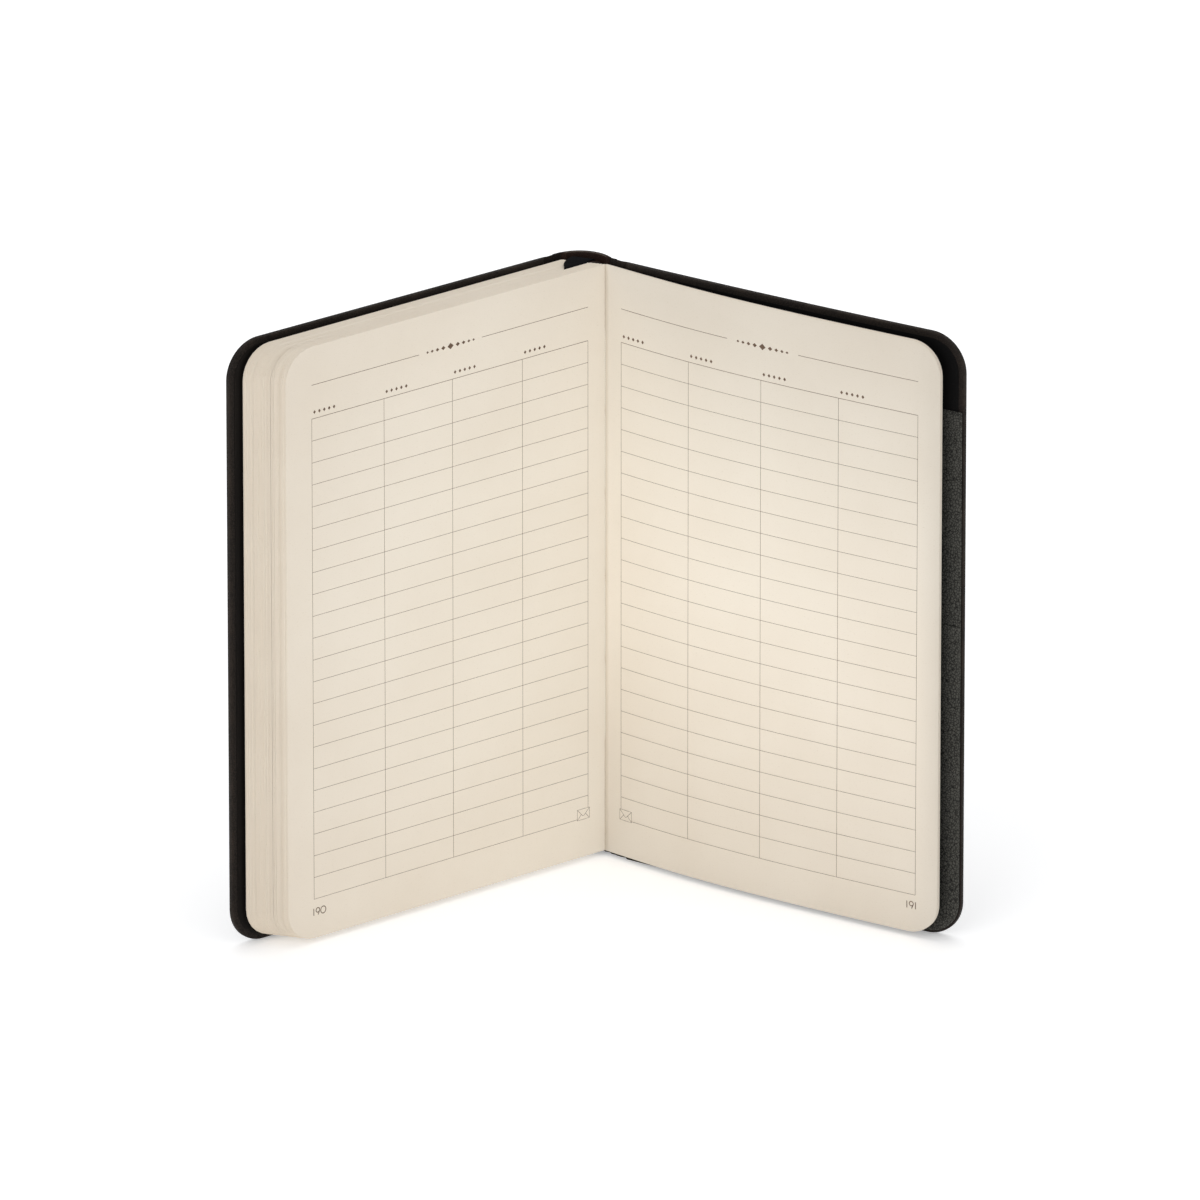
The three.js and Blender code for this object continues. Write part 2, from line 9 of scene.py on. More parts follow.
import bmesh
import bpy
import numpy as np
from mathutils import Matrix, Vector

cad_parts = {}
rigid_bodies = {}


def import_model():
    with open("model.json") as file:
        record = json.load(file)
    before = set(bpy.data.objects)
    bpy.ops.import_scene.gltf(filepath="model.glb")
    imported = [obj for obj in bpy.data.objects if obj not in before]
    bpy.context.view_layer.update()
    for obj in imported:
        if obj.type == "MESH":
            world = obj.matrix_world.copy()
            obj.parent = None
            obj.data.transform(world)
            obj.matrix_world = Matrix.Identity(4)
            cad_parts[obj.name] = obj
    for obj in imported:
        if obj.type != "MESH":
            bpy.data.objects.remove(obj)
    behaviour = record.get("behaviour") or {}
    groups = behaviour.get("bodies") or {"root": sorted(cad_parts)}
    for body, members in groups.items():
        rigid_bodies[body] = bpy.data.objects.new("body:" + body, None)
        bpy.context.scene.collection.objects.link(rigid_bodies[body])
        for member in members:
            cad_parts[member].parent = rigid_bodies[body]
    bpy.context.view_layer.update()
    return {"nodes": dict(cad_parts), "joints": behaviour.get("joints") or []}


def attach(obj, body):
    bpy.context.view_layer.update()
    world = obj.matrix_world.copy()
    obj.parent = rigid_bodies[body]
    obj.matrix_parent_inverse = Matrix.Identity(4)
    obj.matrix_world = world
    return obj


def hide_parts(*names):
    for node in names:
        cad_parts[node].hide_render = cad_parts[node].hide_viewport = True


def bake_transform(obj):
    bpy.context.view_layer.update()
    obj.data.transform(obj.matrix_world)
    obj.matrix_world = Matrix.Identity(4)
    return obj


# A lined notebook that stands open in a V, dressed over its CAD frame.
# Lengths in the classes are millimetres, as in the part's drawing. Meshes are in metres.

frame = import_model()

MM = 0.001
LOG = logging.getLogger("notebook")

Offset = Callable[[np.ndarray], np.ndarray]
Line = Sequence[tuple[float, float]]
Colour = tuple[float, float, float, float]
Socket = bpy.types.NodeSocket


class Body(str, Enum):
    """The rigid bodies of the book."""

    BLOCK = "block"
    FRONT_COVER = "front_cover"
    LAST_LEAVES = "leaf_191"
    BACK_COVER = "back_cover"


class Slot(str, Enum):
    """The record's material slots."""

    PAPER = "paper"
    LEATHER = "leather"
    BOARD = "board"
    BLACK_PAPER = "black_paper"
    POCKET_CLOTH = "pocket_cloth"
    SATIN = "satin"
    COTTON = "cotton"


def smooth_step(value: np.ndarray, start: float, end: float) -> np.ndarray:
    """Rises smoothly from 0 at start to 1 at end."""
    x = np.clip((np.asarray(value, float) - start) / (end - start), 0, 1)
    return x * x * (3 - 2 * x)


def level(height: float) -> Offset:
    """The offset of a face that keeps one distance from its course."""
    return lambda along: np.full(np.shape(along), float(height))


# ---------------------------------------------------------------- shapes


class Course:
    """A line in plan that a sheet follows, read by distance along it and offset to its left."""

    STEP = 0.25

    def __init__(self, origin: tuple[float, float], heading: Callable[[float], float], length: float) -> None:
        """Walks the line once and keeps its points.

        Args:
            origin: Its first point, in plan.
            heading: Its direction in radians at a distance along it.
            length: How far it is walked. It goes on straight beyond that.
        """
        count = math.ceil(length / self.STEP)
        self.along = np.linspace(0, length, count + 1)
        step = length / count
        turns = np.array([heading(float(s)) for s in (self.along[1:] + self.along[:-1]) / 2])
        self.x = origin[0] + np.concatenate(([0.0], np.cumsum(np.cos(turns) * step)))
        self.y = origin[1] + np.concatenate(([0.0], np.cumsum(np.sin(turns) * step)))
        self.turn = np.array([heading(float(s)) for s in self.along])

    def places(self, along: np.ndarray, left: np.ndarray, height: np.ndarray) -> np.ndarray:
        """Points of space beside the line.

        Args:
            along: Distances along the line.
            left: Offsets to its left.
            height: Heights over the floor.

        Returns:
            The points, in metres.
        """
        s = np.asarray(along, float)
        kept = np.clip(s, 0, self.along[-1])
        turn = np.interp(kept, self.along, self.turn)
        x = np.interp(kept, self.along, self.x) + (s - kept) * np.cos(turn) - left * np.sin(turn)
        y = np.interp(kept, self.along, self.y) + (s - kept) * np.sin(turn) + left * np.cos(turn)
        return np.stack(np.broadcast_arrays(x, y, height), -1) * MM

    def place(self, along: float, left: float = 0.0, height: float = 0.0) -> Vector:
        """One point of space beside the line, in metres."""
        return Vector(self.places(np.array(along), np.array(left), np.array(height)))


@dataclass
class Shape:
    """The points, faces, UV and edge mask of a mesh before it becomes a piece."""

    points: list[np.ndarray] = field(default_factory=list)
    uv: list[np.ndarray] = field(default_factory=list)
    edge: list[np.ndarray] = field(default_factory=list)
    faces: list[Sequence[int]] = field(default_factory=list)

    def add(self, points: np.ndarray, uv: np.ndarray | None = None, edge: np.ndarray | None = None) -> list[int]:
        """Adds points.

        Args:
            points: Their places, in metres.
            uv: Their UV, in metres over the surface.
            edge: How near they lie to an outer edge, from 0 to 1.

        Returns:
            Their numbers.
        """
        first = sum(map(len, self.points))
        flat = np.reshape(points, (-1, 3))
        self.points.append(flat)
        self.uv.append(np.zeros((len(flat), 2)) if uv is None else np.reshape(uv, (-1, 2)))
        self.edge.append(np.zeros(len(flat)) if edge is None else np.reshape(edge, -1))
        return list(range(first, first + len(flat)))

    def skin(self, rings: Sequence[Sequence[int]]) -> None:
        """Joins closed rings by faces, each ring to the next.

        Args:
            rings: The numbers of the points of each ring.
        """
        for lower, upper in zip(rings, rings[1:]):
            for k, after in enumerate([*range(1, len(lower)), 0]):
                self.faces.append([lower[k], lower[after], upper[after], upper[k]])

    def solid(self, rings: Sequence[Sequence[int]]) -> None:
        """Joins closed rings to a body with a flat face at each end."""
        self.skin(rings)
        self.faces += [rings[0][::-1], rings[-1]]

    def piece(self, name: str, finish: "Finish", smooth: bool = True, outward: bool = False) -> bpy.types.Object:
        """Makes the mesh object.

        Args:
            name: The name of the piece.
            finish: Its finish.
            smooth: Whether its faces are shaded smoothly.
            outward: Whether its faces still have to be turned outwards.

        Returns:
            The object, at the origin.
        """
        mesh = bpy.data.meshes.new(name)
        mesh.from_pydata(np.concatenate(self.points).tolist(), [], self.faces)
        corners = np.zeros(len(mesh.loops), np.int32)
        mesh.loops.foreach_get("vertex_index", corners)
        layer = mesh.uv_layers.new(name="UVMap")
        layer.data.foreach_set("uv", np.concatenate(self.uv)[corners].astype(np.float32).ravel())
        mask = mesh.attributes.new("edge", "FLOAT", "POINT")
        mask.data.foreach_set("value", np.concatenate(self.edge).astype(np.float32))
        mesh.polygons.foreach_set("use_smooth", np.full(len(mesh.polygons), smooth))
        if outward:
            sheet = bmesh.new()
            sheet.from_mesh(mesh)
            bmesh.ops.recalc_face_normals(sheet, faces=sheet.faces)
            sheet.to_mesh(mesh)
            sheet.free()
        mesh.materials.append(finish.material())
        return linked(name, mesh)


def linked(name: str, data: bpy.types.ID) -> bpy.types.Object:
    """Makes an object of a mesh, a light or a camera in the scene.

    Args:
        name: Its name.
        data: What it shows.

    Returns:
        The object, at the origin.
    """
    made = bpy.data.objects.new(name, data)
    bpy.context.scene.collection.objects.link(made)
    return made


@dataclass(frozen=True)
class Plate:
    """A leaf or a board along a course: rounded outer corners, and a rounded rim if it is thick."""

    course: Course
    near: float
    far: float
    low: float
    high: float
    right: Offset
    left: Offset
    corner: float = 0.0
    top_corner: float | None = None
    rim: float = 0.0
    pitch: float = 200.0
    rows: int = 1
    corner_steps: int = 8
    rim_steps: int = 4
    hem: float = 0.5
    worn: float = 1.4
    rim_share: float = 0.48

    def _columns(self) -> np.ndarray:
        """Distances along the course where the plate has a column of points.

        Returns:
            The distances, from its near side to its far side.
        """
        far = self.far - self.rim
        corner = max(self.corner - self.rim, 0.0)
        stops = [self.near + self.rim]
        if self.rim:
            stops.append(stops[0] + self.hem)
        straight = far - corner - stops[-1]
        count = max(1, round(straight / self.pitch))
        stops += [stops[-1] + straight * i / count for i in range(1, count + 1)]
        if corner:
            turn = [math.pi / 2 * i / self.corner_steps for i in range(1, self.corner_steps + 1)]
            stops += [far - corner + corner * math.sin(angle) for angle in turn]
        elif self.rim:
            stops.insert(-1, far - self.hem)
        return np.array(stops)

    def _fractions(self) -> np.ndarray:
        """Heights of the rows.

        Returns:
            The heights, from 0 at the tail to 1 at the head.
        """
        rows = np.linspace(0, 1, self.rows + 1)
        if not self.rim:
            return rows
        hem = self.hem / (self.high - self.low)
        return np.concatenate(([0, hem], rows[1:-1], [1 - hem, 1]))

    def shape(self) -> Shape:
        """Lays the points out and joins them.

        Returns:
            One closed shell.
        """
        s, v = self._columns(), self._fractions()
        far = self.far - self.rim

        def cut(corner: float) -> tuple[np.ndarray, np.ndarray]:
            """What a corner takes off the columns.

            Args:
                corner: Its radius, with the rim.

            Returns:
                How much it takes off each column, and the outward lean of the border there.
            """
            radius = max(corner - self.rim, 0.0)
            past = np.clip(s - (far - radius), 0, radius)
            if not radius:
                return past, past
            return radius - np.sqrt(np.maximum(radius**2 - past**2, 0)), past / radius

        low_cut, low_lean = cut(self.corner)
        high_cut, high_lean = cut(self.corner if self.top_corner is None else self.top_corner)
        bottom = (self.low + self.rim + low_cut)[:, None]
        ceiling = (self.high - self.rim - high_cut)[:, None]
        z = bottom + (ceiling - bottom) * v
        n, m = len(s) - 1, len(v) - 1
        grid = np.repeat(s[:, None], m + 1, 1)
        gap = np.minimum(np.minimum(z - bottom, ceiling - z), far - grid)
        edge = np.clip(1 - gap / self.worn, 0, 1)
        made = Shape()
        uv = np.stack((grid, z), -1) * MM
        front, back = (
            np.reshape(made.add(self.course.places(grid, side(grid), z), uv, edge), z.shape)
            for side in (self.right, self.left)
        )
        for i in range(n):
            for j in range(m):
                square = ([i, i + 1, i + 1, i], [j, j, j + 1, j + 1])
                made.faces += [front[square].tolist(), back[square].tolist()[::-1]]

        border = [(i, 0) for i in range(n + 1)] + [(n, j) for j in range(1, m)]
        border += [(i, m) for i in range(n, -1, -1)] + [(0, j) for j in range(m - 1, 0, -1)]
        i, j = np.transpose(border)
        lean = np.where(j == 0, low_lean[i], np.where(j == m, high_lean[i], 0.0))
        out_s = np.where(i == 0, -1.0, np.where(i == n, 1.0, lean))
        out_z = np.where(j == 0, -1.0, np.where(j == m, 1.0, 0.0)) * np.sqrt(np.maximum(0, 1 - lean**2))
        right, left = self.right(s[i]), self.left(s[i])
        bulge = np.minimum(self.rim, self.rim_share * (left - right))
        loops = [front[i, j].tolist()]
        if self.rim:
            turns = [math.pi / 2 * k / self.rim_steps for k in range(1, self.rim_steps + 1)]
            profile = [(math.sin(a), right + bulge * (1 - math.cos(a))) for a in turns]
            profile += [(math.sin(a), left - bulge * (1 - math.cos(a))) for a in reversed(turns)]
            for reach, side in profile:
                rim_s, rim_z = s[i] + out_s * reach * self.rim, z[i, j] + out_z * reach * self.rim
                rim_uv = np.stack((rim_s + side * np.abs(out_s), rim_z + side * np.abs(out_z)), -1) * MM
                loops.append(made.add(self.course.places(rim_s, side, rim_z), rim_uv, np.where(i == 0, 0.0, 1.0)))
        loops.append(back[i, j].tolist())
        made.skin(loops[::-1])
        return made


def across(ways: np.ndarray) -> np.ndarray:
    """Rows of vectors brought to length 1."""
    return ways / np.linalg.norm(ways, axis=1)[:, None]


def swept(path: np.ndarray, side: np.ndarray, normal: np.ndarray, section: np.ndarray) -> Shape:
    """A closed body with one cross-section all along a path.

    Args:
        path: The points of the path, in metres.
        side: The direction of the section's first axis at each point.
        normal: The direction of its second axis.
        section: The corners of the section, in metres.

    Returns:
        The shape, closed at both ends.
    """
    made = Shape()
    rings = path[:, None, :] + side[:, None, :] * section[None, :, :1] + normal[:, None, :] * section[None, :, 1:]
    run = np.concatenate(([0.0], np.cumsum(np.linalg.norm(np.diff(path, axis=0), axis=1))))
    uv = np.stack(np.broadcast_arrays(section[None, :, 0], run[:, None]), -1)
    made.solid([made.add(ring, place) for ring, place in zip(rings, uv)])
    return made


def tube(path: np.ndarray, radius: float, sides: int) -> Shape:
    """A round thread along a path of points in metres.

    Args:
        path: The points of its middle line.
        radius: Its radius, in millimetres.
        sides: How many sides its section has.

    Returns:
        The shape, closed at both ends.
    """
    along = across(np.gradient(path, axis=0))
    guide = np.array([0.0, 0.0, 1.0]) if abs(along[0][2]) < 0.9 else np.array([1.0, 0.0, 0.0])
    side = across(np.cross(along, guide))
    turn = np.linspace(0, 2 * math.pi, sides, endpoint=False)
    return swept(path, side, np.cross(side, along), np.stack((np.cos(turn), np.sin(turn)), -1) * radius * MM)


def smooth_curve(points: np.ndarray, steps: int) -> np.ndarray:
    """A smooth curve through points, which leaves each one on the way between its neighbours.

    Args:
        points: The points that it passes.
        steps: How many steps it takes from each point to the next.

    Returns:
        The points of the curve.
    """
    spans = np.linalg.norm(np.diff(points, axis=0), axis=1)
    ways = np.concatenate((points[1:2] - points[:1], points[2:] - points[:-2], points[-1:] - points[-2:-1]))
    ways /= np.concatenate((spans[:1], spans[1:] + spans[:-1], spans[-1:]))[:, None]
    x = np.linspace(0, 1, steps, endpoint=False)[:, None]
    curve = [
        (2 * x**3 - 3 * x**2 + 1) * points[i] + (x**3 - 2 * x**2 + x) * ways[i] * span
        + (3 * x**2 - 2 * x**3) * points[i + 1] + (x**3 - x**2) * ways[i + 1] * span
        for i, span in enumerate(spans)
    ]
    return np.concatenate((*curve, points[-1:]))


# ---------------------------------------------------------------- node trees


class Graph:
    """Adds nodes to a tree and joins them."""

    def __init__(self, tree: bpy.types.NodeTree) -> None:
        """Keeps the tree."""
        self.tree = tree

    def node(self, kind: str, inputs: dict | None = None, **settings: object) -> bpy.types.Node:
        """Adds a node.

        Args:
            kind: Its type.
            inputs: A value or another node's socket for each input, by name or number.
            **settings: Its own settings.

        Returns:
            The node.
        """
        made = self.tree.nodes.new(kind)
        for name, value in settings.items():
            setattr(made, name, value)
        for key, value in (inputs or {}).items():
            if isinstance(value, Socket):
                self.tree.links.new(value, made.inputs[key])
            else:
                made.inputs[key].default_value = value
        return made

    def math(self, operation: str, *values: object) -> Socket:
        """Adds a Math node and gives its result."""
        return self.node("ShaderNodeMath", dict(enumerate(values)), operation=operation).outputs[0]

    def times(self, *values: object) -> Socket:
        """The product of two values."""
        return self.math("MULTIPLY", *values)

    def vector(self, operation: str, inputs: dict) -> Socket:
        """Adds a Vector Math node and gives its result."""
        return self.node("ShaderNodeVectorMath", inputs, operation=operation).outputs[0]

    def ramp(self, value: object, low: float, high: float, start: float = 0.0, end: float = 1.0) -> Socket:
        """Maps a value from low…high to start…end and clamps it."""
        given = {0: value, 1: low, 2: high, 3: start, 4: end}
        return self.node("ShaderNodeMapRange", given, clamp=True).outputs[0]

    def mix(self, factor: object, first: object, second: object) -> Socket:
        """Mixes two colours."""
        return self.node("ShaderNodeMix", {0: factor, 6: first, 7: second}, data_type="RGBA").outputs[2]

    def noise(self, vector: object, scale: object, detail: float = 3.0, rough: float = 0.5) -> Socket:
        """Adds a noise texture and gives its value."""
        given = {"Vector": vector, "Scale": scale, "Detail": detail, "Roughness": rough}
        return self.node("ShaderNodeTexNoise", given).outputs[0]

    def bump(self, height: object, strength: float, depth: float) -> Socket:
        """The normal of a surface with a height from 0 to 1 and a depth in millimetres."""
        return self.node("ShaderNodeBump", {"Strength": strength, "Distance": depth * MM, "Height": height}).outputs[0]

    def coordinates(self, kind: str) -> Socket:
        """The place on the piece, as Object or UV coordinates."""
        return self.node("ShaderNodeTexCoord").outputs[kind]

    def effect(self, tree: bpy.types.NodeTree, *values: object) -> Sequence[Socket]:
        """Puts a shared effect into a material and gives its results."""
        return self.node("ShaderNodeGroup", dict(enumerate(values)), node_tree=tree).outputs


class Effect(Graph):
    """A shader node group for a surface effect that several finishes share."""

    def __init__(self, name: str, *numbers: str) -> None:
        """Opens the group.

        Args:
            name: Its name.
            *numbers: Its inputs after the vector.
        """
        super().__init__(bpy.data.node_groups.new(name, "ShaderNodeTree"))
        self.tree.interface.new_socket("Vector", in_out="INPUT", socket_type="NodeSocketVector")
        for label in numbers:
            self.tree.interface.new_socket(label, in_out="INPUT", socket_type="NodeSocketFloat")
        self.given = self.node("NodeGroupInput").outputs[:len(numbers) + 1]

    def results(self, **values: Socket) -> bpy.types.NodeTree:
        """Closes the group.

        Args:
            **values: Its output values.

        Returns:
            Its tree.
        """
        for label in values:
            self.tree.interface.new_socket(label, in_out="OUTPUT", socket_type="NodeSocketFloat")
        self.node("NodeGroupOutput", values)
        return self.tree


@cache
def fibre() -> bpy.types.NodeTree:
    """Fibres pressed into paper or board.

    Returns:
        The group, with a cloudy tone, short flecks and a fine height.
    """
    graph = Effect("fibre", "Scale")
    place, scale = graph.given
    stretched = graph.vector("MULTIPLY", {0: place, 1: (1.0, 1.0, 3.2)})
    cloud = graph.noise(place, scale, 4.0, 0.55)
    fine = graph.noise(stretched, graph.times(scale, 26.0), 3.0, 0.6)
    fleck = graph.ramp(graph.noise(stretched, graph.times(scale, 60.0), 2.0), 0.63, 0.72)
    return graph.results(Cloud=cloud, Fleck=fleck, Height=fine)


@cache
def grain() -> bpy.types.NodeTree:
    """The pebbled grain of coated leather.

    Returns:
        The group, with the creases between rounded cells and the height.
    """
    graph = Effect("grain", "Cells")
    place, cells = graph.given
    given = {"Vector": place, "Scale": graph.times(cells, 0.7), "Detail": 2.0}
    bend = graph.node("ShaderNodeTexNoise", given).outputs[1]
    shift = graph.vector("SUBTRACT", {0: bend, 1: (0.5, 0.5, 0.5)})
    moved = graph.vector("ADD", {0: place, 1: graph.vector("SCALE", {0: shift, "Scale": 0.0007})})
    given = {"Vector": moved, "Scale": cells}
    cell = graph.node("ShaderNodeTexVoronoi", given, feature="DISTANCE_TO_EDGE").outputs[0]
    dome = graph.math("POWER", graph.ramp(cell, 0.0, 0.45), 0.6)
    fine = graph.times(graph.noise(place, graph.times(cells, 6.0), 2.0), 0.18)
    return graph.results(Crease=graph.ramp(cell, 0.0, 0.16, 1.0, 0.0), Height=graph.math("ADD", dome, fine))


@cache
def weave() -> bpy.types.NodeTree:
    """Crossed threads over a surface's UV.

    Returns:
        The group, with which thread is on top, its height and the gaps.
    """
    graph = Effect("weave", "Across", "Along", "Slub")
    place, *threads, slub = graph.given
    uneven = graph.times(graph.math("SUBTRACT", graph.noise(place, 900.0, 2.0), 0.5), slub)
    split = graph.node("ShaderNodeSeparateXYZ", {0: place}).outputs
    u, v = (graph.math("ADD", graph.times(split[i], threads[i]), uneven) for i in range(2))
    round_u, round_v = (graph.math("ABSOLUTE", graph.math("SINE", graph.times(way, math.pi))) for way in (u, v))
    both = graph.math("ADD", graph.math("FLOOR", u), graph.math("FLOOR", v))
    warp = graph.math("FLOORED_MODULO", both, 2.0)
    up = graph.math("ADD", graph.times(round_u, warp), graph.times(round_v, graph.math("SUBTRACT", 1.0, warp)))
    gap = graph.ramp(graph.times(round_u, round_v), 0.0, 0.3, 1.0, 0.0)
    return graph.results(Warp=warp, Height=up, Gap=gap)


@cache
def wear() -> bpy.types.NodeTree:
    """Rubbing on outer edges, from the mesh's edge mask.

    Returns:
        The group, with the rubbing broken up by noise.
    """
    graph = Effect("wear", "Patch", "Amount")
    place, patch, amount = graph.given
    edge = graph.node("ShaderNodeAttribute", attribute_name="edge").outputs["Fac"]
    patchy = graph.ramp(graph.noise(place, patch, 4.0, 0.6), 0.38, 0.68)
    return graph.results(Rubbed=graph.times(graph.times(graph.math("POWER", edge, 2.0), patchy), amount))


def rgb(red: float, green: float, blue: float) -> Colour:
    """A screen colour of 0 to 255 as a linear colour."""
    shares = [value / 255 for value in (red, green, blue)]
    return (*(v / 12.92 if v <= 0.04045 else ((v + 0.055) / 1.055) ** 2.4 for v in shares), 1.0)


# ---------------------------------------------------------------- finishes


@dataclass(frozen=True)
class Finish:
    """What every finish has: a name, a slot of the record and a material that is built once."""

    name: str
    slot: Slot

    def material(self) -> bpy.types.Material:
        """The material, built on its first use.

        Returns:
            The material.
        """
        made = bpy.data.materials.get(self.name)
        if not made:
            made = bpy.data.materials.new(self.name)
            made.use_nodes = True
            made.node_tree.nodes.clear()
            graph = Graph(made.node_tree)
            shader = graph.node("ShaderNodeBsdfPrincipled", self.sockets(graph))
            graph.node("ShaderNodeOutputMaterial", {0: shader.outputs[0]})
        return made

    def sockets(self, graph: Graph) -> dict[str, object]:
        """The values of the Principled shader's inputs. Each finish has its own."""
        raise NotImplementedError


@dataclass(frozen=True)
class Paper(Finish):
    """Uncoated paper or board: a cloudy tone, flecks and a fine tooth."""

    light: Colour = rgb(236, 226, 211)
    dark: Colour = rgb(232, 221, 205)
    fleck: Colour = rgb(212, 198, 176)
    cloud_scale: float = 28.0
    roughness: float = 0.78
    gloss: float = 0.25
    tooth: float = 0.02
    fleck_amount: float = 0.35

    def sockets(self, graph: Graph) -> dict[str, object]:
        """Tone from the clouds, then flecks, and a bump from the fibres.

        Args:
            graph: The material's graph.

        Returns:
            The shader's inputs.
        """
        cloud, fleck, height = graph.effect(fibre(), graph.coordinates("Object"), self.cloud_scale)
        tone = graph.mix(graph.ramp(cloud, 0.3, 0.7), self.dark, self.light)
        return {
            "Base Color": graph.mix(graph.times(fleck, self.fleck_amount), tone, self.fleck),
            "Roughness": graph.ramp(height, 0.3, 0.7, self.roughness - 0.06, self.roughness + 0.06),
            "Specular IOR Level": self.gloss,
            "Normal": graph.bump(height, 0.5, self.tooth),
        }


@dataclass(frozen=True)
class Ink(Finish):
    """Offset ink: thin, a little uneven where it sank into the paper."""

    full: Colour = rgb(92, 72, 58)
    thin: Colour = rgb(118, 98, 82)

    def sockets(self, graph: Graph) -> dict[str, object]:
        """Two tones, mixed by the paper's fibres.

        Args:
            graph: The material's graph.

        Returns:
            The shader's inputs.
        """
        cloud, _, height = graph.effect(fibre(), graph.coordinates("Object"), 60.0)
        return {
            "Base Color": graph.mix(graph.ramp(height, 0.35, 0.65), self.thin, self.full),
            "Roughness": graph.ramp(cloud, 0.3, 0.7, 0.55, 0.75),
            "Specular IOR Level": 0.2,
        }


@dataclass(frozen=True)
class Leather(Finish):
    """Coated leather or leather cloth with a fine pebbled grain, rubbed a little on its edges."""

    ridge: Colour = rgb(37, 31, 27)
    crease: Colour = rgb(16, 13, 11)
    rubbed: Colour = rgb(70, 58, 48)
    cells: float = 1500.0
    depth: float = 0.05
    roughness: float = 0.6
    gloss: float = 0.15

    def sockets(self, graph: Graph) -> dict[str, object]:
        """Grain, edge rubbing and a soft variation of the shine.

        Args:
            graph: The material's graph.

        Returns:
            The shader's inputs.
        """
        place = graph.coordinates("Object")
        crease, height = graph.effect(grain(), place, self.cells)
        worn = graph.effect(wear(), place, 160.0, 0.25)[0]
        handled = graph.noise(place, 35.0)
        rough = graph.ramp(handled, 0.3, 0.7, self.roughness - 0.07, self.roughness + 0.07)
        return {
            "Base Color": graph.mix(worn, graph.mix(crease, self.ridge, self.crease), self.rubbed),
            "Roughness": graph.math("ADD", rough, graph.times(crease, 0.15)),
            "Specular IOR Level": self.gloss,
            "Normal": graph.bump(height, 0.7, self.depth),
        }


@dataclass(frozen=True)
class Cloth(Finish):
    """A woven finish that follows the piece's UV: satin or cotton."""

    warp: Colour
    weft: Colour
    gap: Colour
    threads: tuple[float, float]
    slub: float
    depth: float
    roughness: float
    gloss: float

    def sockets(self, graph: Graph) -> dict[str, object]:
        """Warp and weft tones, dark gaps, and a bump from the threads.

        Args:
            graph: The material's graph.

        Returns:
            The shader's inputs.
        """
        warp, height, gap = graph.effect(weave(), graph.coordinates("UV"), *self.threads, self.slub)
        return {
            "Base Color": graph.mix(graph.times(gap, 0.8), graph.mix(warp, self.weft, self.warp), self.gap),
            "Roughness": graph.ramp(height, 0.0, 1.0, self.roughness + 0.1, self.roughness - 0.05),
            "Specular IOR Level": self.gloss,
            "Normal": graph.bump(height, 0.8, self.depth),
        }


PAGE = Paper("page paper", Slot.PAPER)
INK = Ink("grey ink", Slot.PAPER)
BLACK_ENDPAPER = Paper(
    "black endpaper", Slot.BLACK_PAPER, light=rgb(13, 12, 12), dark=rgb(9, 8, 8), fleck=rgb(24, 23, 22),
    roughness=0.75, gloss=0.12, tooth=0.03,
)
# A lighter, brown copy of the black endpaper for the front pastedown. Its extra lightness is painted light that makes
# up for the shade the page block casts on it.
BROWN_ENDPAPER_PAINTED_LIGHT = replace(BLACK_ENDPAPER, name="brown black endpaper with painted light", light=rgb(27, 23, 20), dark=rgb(20, 17, 15))
GREY_BOARD = Paper(
    "grey board", Slot.BOARD, light=rgb(150, 142, 128), dark=rgb(126, 118, 106), fleck=rgb(90, 84, 76),
    cloud_scale=60.0, roughness=0.9, gloss=0.1, tooth=0.08, fleck_amount=0.6,
)
COVER_LEATHER = Leather("cover leather", Slot.LEATHER)
SPINE_LEATHER = Leather(
    "spine leather", Slot.LEATHER, ridge=rgb(46, 29, 23), crease=rgb(22, 13, 10), cells=1700.0, roughness=0.55,
)
POCKET_CLOTH = Leather(
    "pocket cloth", Slot.POCKET_CLOTH, ridge=rgb(76, 75, 70), crease=rgb(11, 11, 10), rubbed=rgb(92, 90, 84),
    cells=1250.0, depth=0.16, roughness=0.8, gloss=0.2,
)
SATIN = Cloth(
    "black satin ribbon", Slot.SATIN, warp=rgb(24, 24, 26), weft=rgb(17, 17, 19), gap=rgb(9, 9, 10),
    threads=(5200.0, 2600.0), slub=0.1, depth=0.02, roughness=0.8, gloss=0.03,
)
COTTON = Cloth(
    "cotton thread", Slot.COTTON, warp=rgb(232, 226, 212), weft=rgb(222, 214, 198), gap=rgb(176, 166, 148),
    threads=(3000.0, 3000.0), slub=0.4, depth=0.04, roughness=0.85, gloss=0.15,
)
DARK_COTTON = replace(
    COTTON, name="dark cotton", warp=rgb(44, 30, 26), weft=rgb(36, 25, 22), gap=rgb(16, 11, 10),
    roughness=0.8, gloss=0.2,
)


# ---------------------------------------------------------------- repeated pieces


